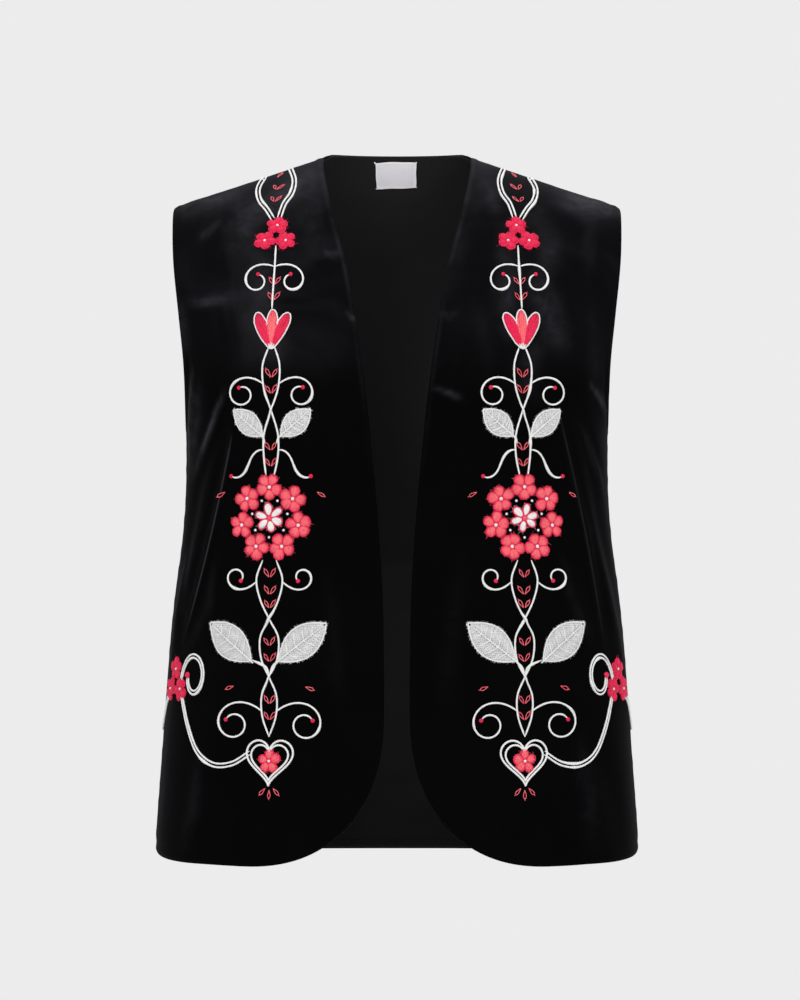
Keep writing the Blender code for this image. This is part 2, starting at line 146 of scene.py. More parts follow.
# Node trees. A wire is one output socket, and maths on it adds nodes.
class Wire:
    def __init__(self, board, socket):
        self.board = board
        self.socket = socket

    def other(self, name):
        return Wire(self.board, self.socket.node.outputs[name])

    def maths(self, operation, first, second=0.0):
        return self.board.add("ShaderNodeMath", {"operation": operation}, {0: first, 1: second})

    def __add__(self, other):
        return self.maths("ADD", self, other)

    def __sub__(self, other):
        return self.maths("SUBTRACT", self, other)

    def __rsub__(self, other):
        return self.maths("SUBTRACT", other, self)

    def __mul__(self, other):
        return self.maths("MULTIPLY", self, other)

    def __truediv__(self, other):
        return self.maths("DIVIDE", self, other)

    def __rtruediv__(self, other):
        return self.maths("DIVIDE", other, self)

    __radd__ = __add__
    __rmul__ = __mul__

    def ramp(self, low, high):  # 0 below low, 1 above high, smooth between
        ends = {"Value": self, "From Min": low, "From Max": high}
        return self.board.add("ShaderNodeMapRange", {"interpolation_type": "SMOOTHSTEP"}, ends)


class Board:
    def __init__(self, tree):
        self.tree = tree

    def add(self, kind, settings=None, sockets=None, out=0):
        node = self.tree.nodes.new(kind)
        for key, value in (settings or {}).items():
            setattr(node, key, value)
        for key, value in (sockets or {}).items():
            if isinstance(value, Wire):
                self.tree.links.new(value.socket, node.inputs[key])
            else:
                node.inputs[key].default_value = value
        return Wire(self, node.outputs[out])

    def noise(self, place, scale, detail=2.0, roughness=0.5, distortion=0.0):
        sockets = {"Vector": place, "Scale": scale, "Detail": detail}
        sockets.update({"Roughness": roughness, "Distortion": distortion})
        return self.add("ShaderNodeTexNoise", {}, sockets)

    def stretched(self, place, turn, scale):
        return self.add("ShaderNodeMapping", {}, {"Vector": place, "Rotation": turn, "Scale": scale})

    def mixed(self, factor, first, second):
        return self.add("ShaderNodeMix", {"data_type": "RGBA"}, {0: factor, 6: first, 7: second}, 2)

    def bumped(self, height, strength, distance):
        sockets = {"Height": height, "Strength": strength, "Distance": distance}
        return self.add("ShaderNodeBump", {}, sockets)

    def attribute(self, name):
        return self.add("ShaderNodeAttribute", {"attribute_name": name}, {}, "Fac")

    def feed(self, shader, colour, roughness, normal):
        for key, wire in (("Base Color", colour), ("Roughness", roughness), ("Normal", normal)):
            self.tree.links.new(wire.socket, shader.inputs[key])


def newMaterial(name, constants):
    material = bpy.data.materials.new(name)
    material.use_nodes = True
    shader = material.node_tree.nodes["Principled BSDF"]
    setInputs(shader, constants)
    board = Board(material.node_tree)
    return material, board, shader, board.add("ShaderNodeTexCoord", out="Object")


# Velvet: nearly black pile, with smoky lighter patches, partly where the pile lies the other way and partly
# painted sheen over the upper chest and shoulders, and painted highlights along creases, ridge lines and
# edges
velvet = {
    "deep": (0.0010, 0.0010, 0.0012),
    "open": (0.0330, 0.0330, 0.0400),
    "facing": (0.0070, 0.0070, 0.0076),
    "cloudScale": 7.5,
    "wispScale": 13.0,
    "pileScale": 900.0,
    "mottleScale": 42.0,
    # the painted sheen over the upper fronts fades out between these two heights
    "sheenAbove": -0.128,
    "sheenGone": -0.190,
    # heights over which the shoulders get a painted highlight
    "shoulder": (-0.035, 0.020),
    "sheen": 0.036,
    "sheenAndNap": {"all": 0.04, "clouds": 0.14, "wisps": 0.15, "shoulderHighlight": 0.24, "everywhere": 0.010},
}
# Painted highlights along two long sharp ridge lines on the fronts: the ends of each, how far it bows, its
# half width and its strength
ridgeHighlights = [
    {"top": (-0.1450, -0.222), "low": (-0.1915, -0.415), "bow": 0.0026, "width": 0.0006, "strength": 0.66},
    {"top": (0.1420, -0.203), "low": (0.1855, -0.425), "bow": 0.0036, "width": 0.0007, "strength": 0.26},
]


def ridgeLight(x, y, height, top, low, bow, width, strength):
    share = (height - top[1]) / (low[1] - top[1])
    centre = top[0] + share * (low[0] - top[0]) + share * (1 - share) * (4 * bow)
    away = (x - centre) / width
    line = 1 / (1 + away * away * (0.4 + away * away))
    return line * share.ramp(0.0, 0.12) * (1 - share.ramp(0.70, 1.0)) * (1 - y.ramp(-0.02, 0.0)) * strength


def velvetMaterial():
    constants = {
        "Sheen Weight": velvet["sheen"],
        "Sheen Roughness": 0.35,
        "Sheen Tint": (0.62, 0.64, 0.75, 1.0),
        "Specular IOR Level": 0.03,
    }
    material, board, shader, place = newMaterial("velvet_black", constants)
    across = board.add("ShaderNodeSeparateXYZ", {}, {0: place})
    height = across.other("Z")
    upper = height.ramp(velvet["sheenGone"], velvet["sheenAbove"])
    shoulderHighlight = height.ramp(*velvet["shoulder"])
    clouds = board.noise(place, velvet["cloudScale"], 3.0, 0.55, 1.1).ramp(0.44, 0.72)
    slanted = board.stretched(place, (0.0, 0.75, 0.0), (1.0, 1.0, 0.34))
    wisps = board.noise(slanted, velvet["wispScale"], 3.0, 0.5, 0.6).ramp(0.52, 0.74)
    pile = board.noise(place, velvet["pileScale"], 2.0, 0.6)
    mottle = board.noise(place, velvet["mottleScale"], 3.0, 0.6, 0.8).ramp(0.30, 0.70)
    part = velvet["sheenAndNap"]
    # painted sheen over the upper chest, with random clouds and wisps of pile in it, and a painted highlight
    # on the shoulders
    sheenAndNap = part["all"] + clouds * part["clouds"] + wisps * part["wisps"] + shoulderHighlight * part["shoulderHighlight"]
    # the cloth's lightening attribute adds painted highlights along creases and edges, painted sheen, and
    # real pile lying the other way; the clouds add real pile tone everywhere
    napAndShine = sheenAndNap * upper + part["everywhere"] * clouds + board.attribute("lightening") * (0.50 + mottle)
    # painted highlights along the two ridge lines
    for row in ridgeHighlights:
        napAndShine = napAndShine + ridgeLight(across, across.other("Y"), height, **row)
    napAndShine = (napAndShine * (0.75 + 0.5 * pile)).maths("MINIMUM", napAndShine * 1.1, 1.0)
    colour = board.mixed(napAndShine, opaque(velvet["deep"]), opaque(velvet["open"]))
    colour = board.mixed(board.attribute("inside"), colour, opaque(velvet["facing"]))
    soft = board.noise(place, 120.0, 2.0, 0.5)
    bump = board.bumped(pile * 0.7 + soft * 0.6, 0.30, 0.0006)
    board.feed(shader, colour, 0.92 - 0.18 * napAndShine, bump)
    return material


# Lining: smooth dark cloth with a fine slanting twill, with painted light over the middle of the back and
# painted shade darkening it towards the hem
lining = {
    "colour": (0.0116, 0.0116, 0.0123),
    "light": (0.0155, 0.0155, 0.0164),
    "middle": (0.0255, 0.0255, 0.0265),
    "litBandFrom": (-0.070, -0.250),
    "low": (0.0024, 0.0024, 0.0029),
    "shadeFrom": (-0.600, -0.360),
    "twill": 5200.0,
}


def liningMaterial():
    constants = {"Sheen Weight": 0.03, "Sheen Roughness": 0.4, "Specular IOR Level": 0.10}
    material, board, shader, place = newMaterial("lining_black", constants)
    height = board.add("ShaderNodeSeparateXYZ", {}, {0: place}, "Z")
    slanted = board.stretched(place, (0.0, 0.9, 0.0), (1.0, 1.0, 1.0))
    across = board.add("ShaderNodeSeparateXYZ", {}, {0: slanted}, "X")
    rib = (across * lining["twill"]).maths("SINE", across * lining["twill"])
    cloudy = board.noise(place, 6.0, 2.0, 0.5, 0.5).ramp(0.35, 0.70)
    colour = board.mixed(cloudy, opaque(lining["colour"]), opaque(lining["light"]))
    # painted light over the middle of the back, then painted shade towards the hem
    colour = board.mixed(1 - height.ramp(*reversed(lining["litBandFrom"])), colour, opaque(lining["middle"]))
    colour = board.mixed(height.ramp(*lining["shadeFrom"]), opaque(lining["low"]), colour)
    bump = board.bumped(rib * 0.5 + board.noise(place, 60.0) * 1.5, 0.12, 0.0004)
    board.feed(shader, colour, 0.60 + 0.15 * cloudy, bump)
    return material


# The woven label: pale ribbed tape, lighter where its edges are folded under
label = {
    "colour": (0.800, 0.775, 0.825),
    "edge": (0.930, 0.930, 0.940),
    "rib": 2600.0,
    "columns": 40,
    "rows": 26,
    "thickness": 0.0005,
    "lift": 0.0010,
    "bulge": 0.0009,
    "band": 0.0013,
    "trim": 0.0012,
    "crown": 0.0010,
    "skew": ((-0.0004, 0.0002), (-0.0018, -0.0002), (0.0008, 0.0001), (-0.0018, -0.0010)),
    "tips": (0.0008, 0.0001, 0.0003, 0.0001),
    "ripple": 0.00015,
    "foldLift": 0.00025,
    "stitchThread": 0.00022,
    "stitchJitter": 0.00008,
}


def labelMaterial():
    constants = {"Specular IOR Level": 0.25, "Sheen Weight": 0.05}
    material, board, shader, place = newMaterial("label_woven", constants)
    height = board.add("ShaderNodeSeparateXYZ", {}, {0: place}, "Z")
    across = board.add("ShaderNodeSeparateXYZ", {}, {0: place}, "X")
    ribs = (height * label["rib"]).maths("SINE", height * label["rib"])
    warp = (across * label["rib"]).maths("SINE", across * label["rib"] * 1.6)
    patchy = board.noise(place, 90.0, 2.0, 0.5).ramp(0.30, 0.70)
    colour = board.mixed(patchy * 0.18 + ribs * 0.06 + 0.06, opaque(label["colour"]), opaque(label["edge"]))
    colour = board.mixed(board.attribute("lightening"), colour, opaque(label["edge"]))
    bump = board.bumped(ribs * 0.6 + warp * 0.4, 0.30, 0.0002)
    board.feed(shader, colour, 0.55 + 0.10 * patchy, bump)
    return material


def threadMaterial(name, colour, shade, roughness):
    constants = {"Specular IOR Level": 0.38, "Sheen Weight": 0.06, "Sheen Roughness": 0.45}
    material, board, shader, place = newMaterial(name, constants)
    patchy = board.noise(place, 980.0, 2.0, 0.6).ramp(0.40, 0.60)
    tone = board.attribute("tone") * 0.52 + patchy * 0.48
    fibres = board.noise(place, 3800.0, 2.0, 0.6)
    colour = board.mixed(tone, opaque(shade), opaque(colour))
    bump = board.bumped(fibres, 0.35, 0.00025)
    board.feed(shader, colour, roughness + 0.15 * fibres, bump)
    return material


materials = {
    "velvet": velvetMaterial(),
    "lining": liningMaterial(),
    "label": labelMaterial(),
    "white": threadMaterial("thread_white", (0.93, 0.93, 0.92), (0.74, 0.74, 0.74), 0.42),
    "silver": threadMaterial("thread_silver", (0.84, 0.84, 0.85), (0.52, 0.52, 0.54), 0.45),
    "coral": threadMaterial("thread_coral", (1.00, 0.215, 0.235), (0.80, 0.006, 0.062), 0.38),
    "crimson": threadMaterial("thread_crimson", (0.94, 0.005, 0.092), (0.52, 0.002, 0.038), 0.38),
}
print("materials ready:", len(materials))


def shares(count):  # even steps from 0 to 1
    return np.linspace(0.0, 1.0, count)


def unit(values):
    return np.clip(values, 0.0, 1.0)


def bell(away, width):  # 1 in the middle, and falling off evenly on both sides
    return np.exp(-((away / width) ** 2))


# The garment's outside, level by level: drop is the distance below the origin
body = {
    "drop": (-0.025, 0.030, 0.073, 0.118, 0.163, 0.208, 0.275, 0.320, 0.365, 0.410, 0.455, 0.545, 0.610),
    "halfWidth": (0.2025, 0.2012, 0.1994, 0.1948, 0.1906, 0.1896, 0.1898, 0.1930, 0.1990, 0.2038,
                  0.2070, 0.2138, 0.2185),
    "frontDepth": (0.116, 0.120, 0.124, 0.129, 0.130, 0.127, 0.122, 0.123, 0.127, 0.132, 0.136, 0.143, 0.148),
    "backDepth": (0.103, 0.107, 0.111, 0.113, 0.112, 0.109, 0.106, 0.108, 0.113, 0.119, 0.125, 0.134, 0.140),
}
frontEdge = {
    "drop": (-0.0245, -0.0120, 0.0330, 0.0800, 0.1270, 0.1890, 0.2320, 0.3000, 0.3670, 0.4400, 0.4700),
    "halfGap": (0.0665, 0.0655, 0.0558, 0.0435, 0.0358, 0.0272, 0.0227, 0.0165, 0.0124, 0.0110, 0.0110),
}
cut = {
    "ringPower": 1.2,
    "neckX": 0.0665,
    "neckDrop": -0.0245,
    "shoulderSlope": 0.345,
    "roundOver": 0.200,
    "roundOverPower": 0.6,
    "neckSink": 0.033,
    "neckSinkFade": 0.050,
    "neckRise": 0.0041,
    "neckRisePower": 24,
    "shoulderRun": 0.1347,
    "shoulderCrown": 0.0024,
    "crownFade": (0.88, 1.00),
    "tipInset": 0.0016,
    "tipInsetFade": 0.0028,
    "cornerInset": 0.0030,
    "cornerInsetFade": 0.0050,
    "cornerRise": 0.0034,
    "cornerRisePower": (10, 24),
    "underarm": 0.225,
    "frontArmhole": 0.80,
    "backArmhole": 0.72,
    "hem": 0.606,
    "cutawayTop": 0.470,
    "cutawayEndX": 0.136,
    "cutawayPower": 2.3,
    "sideHemRise": 0.002,
    "lowerFrom": 0.400,
    "seamGap": 0.0003,
}
rowMarks = (0.0, 0.002, 0.007, 0.016, 0.030, 0.050, 0.076, 0.105, 0.135, 0.163, 0.187, 0.206, 0.218, 0.225,
            0.240, 0.265, 0.293, 0.321, 0.348, 0.374, 0.400, 0.428, 0.457, 0.486, 0.515, 0.543, 0.568, 0.588,
            0.606)


def readTable(table, column, drop):  # a smooth curve through the table's rows
    rows, values = np.array(table["drop"]), np.array(table[column])
    drop = np.clip(drop, rows[0], rows[-1])
    low = np.maximum(np.arange(len(rows)) - 1, 0)
    high = np.minimum(np.arange(len(rows)) + 1, len(rows) - 1)
    slopes = (values[high] - values[low]) / (rows[high] - rows[low])
    at = np.clip(np.searchsorted(rows, drop) - 1, 0, len(rows) - 2)
    span = rows[at + 1] - rows[at]
    t = (drop - rows[at]) / span
    bend = t * (1 - t) ** 2 * slopes[at] + t * t * (t - 1) * slopes[at + 1]
    return values[at] + (values[at + 1] - values[at]) * t * t * (3 - 2 * t) + span * bend


def levelDrop(x, row, rise=0.0):
    follow = np.maximum(0.0, 1 - row / cut["roundOver"]) ** 2
    out = np.maximum(0.0, np.abs(x) - cut["neckX"])
    share, (start, end) = out / cut["shoulderRun"], cut["crownFade"]
    fade = unit((share - start) / (end - start))
    crown = cut["shoulderCrown"] * share**3 * (1 - fade**1.5)
    neck = rise * (1 - np.minimum(np.abs(x) / cut["neckX"], 1.0) ** cut["neckRisePower"])
    return row + follow * (cut["neckDrop"] + out * cut["shoulderSlope"] - crown - neck)


def widthAt(drop, row):  # half of the width, a little less in the rounded corners at the shoulder and the hem
    tip = cut["tipInset"] * np.exp(-row / cut["tipInsetFade"])
    corner = cut["cornerInset"] * np.exp(-(cut["hem"] - row) / cut["cornerInsetFade"])
    return readTable(body, "halfWidth", drop) - tip - corner


def roundedOver(row):
    share = np.minimum(row / cut["roundOver"], 1.0)
    return np.sin(math.pi / 2 * share ** cut["roundOverPower"])


def armholeAngle(row, share):
    depth = share * np.sqrt(unit(1 - row / cut["underarm"]))
    return np.arcsin(depth ** cut["ringPower"])


def cornerCurve(share):
    return unit(1 - unit(share) ** cut["cutawayPower"]) ** (1 / cut["cutawayPower"])


def halfGap(drop):
    down = (drop - cut["cutawayTop"]) / (cut["hem"] - cut["cutawayTop"])
    reach = cut["cutawayEndX"] - frontEdge["halfGap"][-1]
    corner = cut["cutawayEndX"] - reach * cornerCurve(down)
    return np.where(drop <= cut["cutawayTop"], readTable(frontEdge, "halfGap", drop), corner)


def hemDrop(x):
    reach = cut["cutawayEndX"] - frontEdge["halfGap"][-1]
    out = (x - cut["cutawayEndX"]) / (body["halfWidth"][-1] - cut["cutawayEndX"])
    tall = cut["hem"] - cut["cutawayTop"]
    corner = cut["cutawayTop"] + tall * cornerCurve((cut["cutawayEndX"] - x) / reach)
    rise = cut["sideHemRise"] * out**2 + cut["cornerRise"] * np.maximum(out, 0.0) ** cut["cornerRisePower"][0]
    return np.where(x >= cut["cutawayEndX"], cut["hem"] - rise, corner)


def lowerShare(row):
    return unit((row - cut["lowerFrom"]) / (cut["hem"] - cut["lowerFrom"]))


def frontSurface(across, row):  # across is 0 at the side or armhole and 1 at the front edge
    across, row = np.broadcast_arrays(across, row)
    power = cut["ringPower"]
    low, share = row > cut["lowerFrom"], lowerShare(row)
    cornerShare = math.sqrt(0.5) ** (2 / cut["cutawayPower"])
    cornerX = cut["cutawayEndX"] - (cut["cutawayEndX"] - frontEdge["halfGap"][-1]) * cornerShare
    cornerDrop = cut["cutawayTop"] + (cut["hem"] - cut["cutawayTop"]) * cornerShare
    edge = np.full(row.shape, cut["neckX"])
    for _ in range(6):
        edge = halfGap(levelDrop(edge, row))
    edge = np.where(low, halfGap(cut["lowerFrom"] + share * (cornerDrop - cut["lowerFrom"])), edge)
    start = armholeAngle(row, cut["frontArmhole"])
    hemWidth = readTable(body, "halfWidth", cut["hem"])
    turn = np.arccos((cornerX / hemWidth) ** power) * across
    lowDrop = cut["lowerFrom"] + share * (hemDrop(hemWidth * np.cos(turn) ** (1 / power)) - cut["lowerFrom"])
    x = np.full(row.shape, cut["neckX"])
    for _ in range(4):
        drop = np.where(low, lowDrop, levelDrop(x, row))
        width = widthAt(drop, row)
        end = np.arccos(np.cos(start) * (edge / width) ** power)
        angle = start + (end - start) * across
        x = width * (np.cos(angle) / np.cos(start)) ** (1 / power)
    depth = readTable(body, "frontDepth", drop) * roundedOver(row)
    y = -cut["seamGap"] / 2 - depth * np.sin(angle) ** (1 / power)
    return np.stack([x, y, -drop], axis=-1)


def backSurface(across, row):  # across is 0 at the side or armhole and 1 at the middle of the back
    across, row = np.broadcast_arrays(across, row)
    power = cut["ringPower"]
    start = armholeAngle(row, cut["backArmhole"])
    x = np.full(row.shape, cut["neckX"])
    for _ in range(4):
        drop = levelDrop(x, row, cut["neckRise"])
        width = widthAt(drop, row)
        angle = start + (math.pi / 2 - start) * across
        x = width * (np.maximum(np.cos(angle), 0.0) / np.cos(start)) ** (1 / power)
    toSide = x / width
    cornerRise = cut["cornerRise"] * toSide ** cut["cornerRisePower"][1]
    drop = drop - lowerShare(row) * (cut["sideHemRise"] * toSide**4 + cornerRise)
    sink = cut["neckSink"] * np.maximum(0.0, 1 - (x / cut["neckX"]) ** 2) * np.exp(-row / cut["neckSinkFade"])
    depth = readTable(body, "backDepth", drop) * roundedOver(row + sink)
    y = cut["seamGap"] / 2 + depth * np.sin(angle) ** (1 / power)
    return np.stack([x, y, -drop], axis=-1)


def fineRows(steps):
    marks = np.arange(len(rowMarks))
    return np.interp(np.linspace(0, marks[-1], marks[-1] * steps + 1), marks, rowMarks)


def gridNormals(grid):
    over = np.empty_like(grid)
    down = np.empty_like(grid)
    over[:, 1:-1] = grid[:, 2:] - grid[:, :-2]
    over[:, 0], over[:, -1] = grid[:, 1] - grid[:, 0], grid[:, -1] - grid[:, -2]
    down[1:-1] = grid[2:] - grid[:-2]
    down[0], down[-1] = grid[1] - grid[0], grid[-1] - grid[-2]
    normal = np.cross(down, over)
    return normal / np.linalg.norm(normal, axis=-1, keepdims=True)


# Large soft folds: the drops of their ends, their places and width as shares across the panel, and height
foldColumns = ("top", "bottom", "acrossTop", "acrossBottom", "width", "height")
folds = {
    "front_left": [(0.195, 0.500, 0.50, 0.07, 0.070, 0.0026), (0.170, 0.420, 0.42, 0.10, 0.060, -0.0014),
                   (0.300, 0.640, 0.62, 0.52, 0.110, -0.0035)],
    "front_right": [(0.190, 0.470, 0.49, 0.10, 0.070, 0.0026), (0.160, 0.440, 0.40, 0.08, 0.060, -0.0014),
                    (0.320, 0.650, 0.66, 0.55, 0.110, -0.0030)],
    "back_left": [(0.180, 0.520, 0.40, 0.16, 0.070, 0.0045), (0.260, 0.660, 0.62, 0.52, 0.100, -0.0040)],
    "back_right": [(0.170, 0.540, 0.42, 0.14, 0.070, 0.0045), (0.280, 0.650, 0.66, 0.58, 0.100, -0.0040)],
}


def foldHeight(table, across, drop):
    height = np.zeros(drop.shape)
    for row in table:
        fold = dict(zip(foldColumns, row))
        along = unit((drop - fold["top"]) / (fold["bottom"] - fold["top"]))
        middle = fold["acrossTop"] + (fold["acrossBottom"] - fold["acrossTop"]) * along
        fade = unit(np.sin(math.pi * along)) ** 0.8
        height += fold["height"] * fade * bell(across - middle, fold["width"])
    return height


# Creases, in millimetres: x and drop of points on the line, half width, height, and the strength of the
# painted highlight along the lit flank
creases = {
    "front_left": [
        (((142.5, 204), (152, 250), (163.5, 299), (173.5, 350), (179, 385), (185, 420)), 4.2, 1.5, 0.03),
        (((163, 214), (174, 246), (185, 282)), 4.8, 1.6, 0.12),
        (((170, 178), (180, 192), (187, 208)), 4, 1.6, 0.45),
        (((30, 184), (44, 188), (58, 194)), 3.8, 1.5, 0.34),
        (((36, 119), (46, 121), (53, 118)), 3.5, 1.2, 0.25),
        (((74, -4), (88, 14), (94, 30)), 8, 1.8, 0.2),
        (((134, 12), (160, 22), (186, 22)), 7, 1.6, 0.2),
        (((128, 88), (141, 104), (150, 122)), 6.5, 1.4, 0.16),
        (((148, 332), (158, 372), (176, 412)), 8, 1.6, 0.08),
        (((62, 330), (52, 400), (48, 470)), 12, 1.4, 0.03),
        (((168, 488), (172, 540), (180, 596)), 13, 2.2, 0.08),
        (((132, 548), (134, 575), (138, 600)), 11, -1.6, 0),
    ],
    "front_right": [
        (((-145.5, 214), (-147.7, 236), (-159.1, 290),
          (-171, 340), (-181, 378), (-189.5, 408)), 4, 1.8, 0.06),
        (((-150, 186), (-166, 226), (-181, 266)), 5.5, 2.6, 0.6),
        (((-180, 166), (-184, 208), (-185, 252)), 5, 1.4, 0.36),
        (((-188, 330), (-195, 382), (-202, 440)), 7, 1.8, 0.26),
        (((-66, 62), (-58, 67), (-49, 64)), 3.6, 1.6, 0.38),
        (((-45, 119), (-39, 123), (-33, 127)), 2.6, 1.2, 0.4),
        (((-78, -4), (-92, 12), (-101, 24)), 8.5, 1.8, 0.22),
        (((-156, 34), (-164, 46), (-174, 54)), 4.5, 1.4, 0.35),
        (((-146, 107), (-166, 111), (-188, 110)), 5.5, 1.4, 0.34),
        (((-160, 340), (-166, 384), (-186, 420)), 8, 1.4, 0.08),
        (((-60, 345), (-50, 410), (-47, 465)), 11, 1.2, 0.03),
        (((-172, 500), (-176, 550), (-184, 598)), 12, 2.2, 0.08),
        (((-128, 552), (-132, 580), (-134, 601)), 10.5, -1.5, 0),
    ],
    "back": [
        (((-170, 180), (-148, 214), (-110, 246)), 8.5, 2.6, 0.16),
        (((172, 186), (142, 226), (100, 252)), 8, 2.4, 0.18),
        (((-182, 236), (-156, 296), (-118, 346)), 10, 2.8, 0.13),
        (((180, 252), (150, 306), (122, 344)), 9, 2.4, 0.15),
        (((-60, 16), (-22, 40), (4, 72)), 11, 1.8, 0.12),
        (((70, 20), (44, 50), (30, 90)), 10, 1.6, 0.1),
        (((-90, 26), (-126, 62), (-144, 120)), 9.5, 2, 0.14),
        (((96, 30), (128, 58), (150, 108)), 9, 1.8, 0.14),
        (((-86, 296), (-30, 318), (30, 306)), 12, 2, 0.06),
        (((-20, 352), (36, 362), (92, 336)), 11, 1.8, 0.06),
        (((20, 410), (32, 500), (48, 600)), 17, 3.8, 0.05),
        (((-60, 420), (-76, 510), (-100, 602)), 18, 3.6, 0.05),
        (((124, 450), (138, 520), (154, 600)), 15, 3, 0.06),
        (((-156, 470), (-164, 536), (-176, 600)), 15, 2.8, 0.06),
    ],
    "lining": [
        (((-20, 110), (-10, 220), (-18, 330)), 12, 2.4, 0),
        (((30, 60), (36, 160), (22, 260)), 10, 2, 0),
        (((-60, 320), (-10, 345), (50, 330)), 9, 1.8, 0),
        (((4, 400), (12, 500), (6, 590)), 13, 3, 0),
        (((-80, 420), (-90, 500), (-84, 590)), 14, 3, 0),
        (((90, 430), (96, 510), (104, 592)), 13, 2.8, 0),
        (((-50, -4), (0, 12), (50, -6)), 8, 1.4, 0),
        (((120, 100), (140, 180), (150, 260)), 10, 2.2, 0),
        (((-124, 110), (-136, 190), (-150, 250)), 10, 2.2, 0),
    ],
}
# Lighter patches, partly where the pile is laid the other way and partly painted sheen on the shoulders,
# upper fronts and sides, in millimetres: the stroke's line, its half width and its strength
napAndSheenStrokes = {
    "front_left": [
        (((70, -14), (78, 0), (84, 14)), 11, 0.08),
        (((150, 10), (170, 18), (194, 26)), 11, 0.44),
        (((52, 22), (50, 60), (44, 100)), 11, 0.1),
        (((99, 46), (97, 88), (100, 136)), 8.5, 0.26),
        (((122, 28), (134, 62), (128, 90)), 9, 0.2),
        (((122, 90), (134, 124), (148, 146)), 9.5, 0.26),
        (((126, 146), (114, 170), (118, 190)), 10, 0.16),
        (((172, 120), (176, 160), (178, 190)), 10, 0.08),
        (((176, 206), (184, 240), (188, 282)), 9, 0.02),
        (((196, 300), (202, 400), (210, 560)), 7, 0.01),
    ],
    "front_right": [
        (((-72, -12), (-86, 0), (-104, 14), (-134, 34), (-140, 56)), 11, 0.36),
        (((-72, 14), (-78, 34), (-76, 52)), 9, 0.18),
        (((-140, 10), (-166, 14), (-196, 22)), 11, 0.38),
        (((-122, 62), (-116, 92), (-124, 120)), 9.5, 0.18),
        (((-112, 120), (-106, 140), (-110, 160)), 10, 0.2),
        (((-136, 116), (-128, 130), (-112, 146)), 8.5, 0.1),
        (((-166, 100), (-154, 108), (-140, 104)), 8.5, 0.14),
        (((-193, 108), (-190, 130), (-188, 152)), 6, 0.18),
        (((-180, 188), (-182, 216), (-186, 256)), 11, 0.24),
        (((-190, 260), (-196, 360), (-203, 470)), 8.5, 0.17),
        (((-204, 470), (-208, 530), (-213, 590)), 8, 0.08),
    ],
    "back": [
        (((-150, 10), (-110, 28), (-70, 20)), 20, 0.16),
        (((160, 16), (112, 40), (74, 30)), 18, 0.16),
        (((-40, 60), (-70, 110), (-60, 170)), 19, 0.12),
        (((60, 80), (48, 120), (80, 170)), 16, 0.12),
        (((-150, 150), (-166, 200), (-186, 280)), 14, 0.12),
        (((160, 150), (176, 210), (190, 290)), 13, 0.12),
        (((-196, 330), (-202, 420), (-206, 560)), 11, 0.06),
        (((196, 340), (202, 430), (208, 570)), 11, 0.06),
    ],
}


def along(grid, axis):  # lengths along the grid's lines, from its first line
    steps = np.linalg.norm(np.diff(grid, axis=axis), axis=-1)
    zero = np.zeros_like(np.take(steps, [0], axis=axis))
    return np.concatenate([zero, np.cumsum(steps, axis=axis)], axis=axis)


def besidePath(path, grid, girth):  # how far off a path each place is, on which side, and how far along it
    drop, x = -grid[..., 2], grid[..., 0]
    corners = []
    for cornerX, cornerDrop in smoothLine(np.array(path) / 1000, 7):
        nearest = np.argmin((x - cornerX) ** 2 + (drop - cornerDrop) ** 2)
        corners.append((girth.flat[nearest], cornerDrop))
    corners = np.array(corners)
    best = np.full(drop.shape, 1e9)
    signed, share = np.zeros(drop.shape), np.zeros(drop.shape)
    for i, (start, end) in enumerate(zip(corners, corners[1:])):
        run = end - start
        offX, offDrop = girth - start[0], drop - start[1]
        t = unit((offX * run[0] + offDrop * run[1]) / (run @ run))
        away = np.hypot(offX - t * run[0], offDrop - t * run[1])
        closer = away < best
        side = np.sign(offX * run[1] - offDrop * run[0])
        best = np.where(closer, away, best)
        signed = np.where(closer, away * side, signed)
        share = np.where(closer, (i + t) / (len(corners) - 1), share)
    return best, signed, share


crease = {
    "endFade": 0.12,
    "beyondEnds": 0.6,
    "reach": 0.05,
    "hollow": 0.45,
    "hollowAt": 1.9,
    "hollowWidth": 1.1,
    "shineAt": -0.35,
    "shineWidth": 0.62,
}


def creaseField(table, grid, girth):  # heights of all creases over the grid, and the painted highlights along their lit flanks
    height, shine = np.zeros(girth.shape), np.zeros(girth.shape)
    for path, width, rise, light in table:
        best, signed, share = besidePath(path, grid, girth)
        arch = unit(np.sin(math.pi * share))
        fade = crease["endFade"] + (1 - crease["endFade"]) * arch
        fade *= np.exp(-((best / crease["reach"]) ** 4))
        fade *= np.where((share <= 0.0) | (share >= 1.0), crease["beyondEnds"], 1.0)
        s = signed / (width / 1000 * (0.75 + 0.5 * share))
        hollow = crease["hollow"] * bell(s - crease["hollowAt"], crease["hollowWidth"])
        height += rise / 1000 * fade * (np.exp(-(s**2)) - hollow)
        shine += light * fade * bell(s - crease["shineAt"], crease["shineWidth"])
    return height, shine


def strokeField(table, grid, girth):  # the broad lighter places, partly pile laid the other way and partly painted sheen, which add light but no height
    lightening = np.zeros(girth.shape)
    for path, width, strength in table:
        best, _, share = besidePath(path, grid, girth)
        fade = 0.35 + 0.65 * np.sqrt(unit(np.sin(math.pi * share)))
        lightening += strength * fade * bell(best, width / 1000)
    return lightening


def smoothLine(points, steps):  # a smooth curve through points, with steps on each stretch
    points = np.array(points, float)
    before = np.vstack([2 * points[0] - points[1], points[:-1]])
    after = np.vstack([points[1:], 2 * points[-1] - points[-2]])
    slopes = (after - before) / 2
    made = []
    for i in range(len(points) - 1):
        for t in np.arange(steps) / steps:
            ease = t * t * (3 - 2 * t)
            bend = t * (1 - t) ** 2 * slopes[i] + t * t * (t - 1) * slopes[i + 1]
            made.append(points[i] * (1 - ease) + points[i + 1] * ease + bend)
    return np.array([*made, points[-1]])


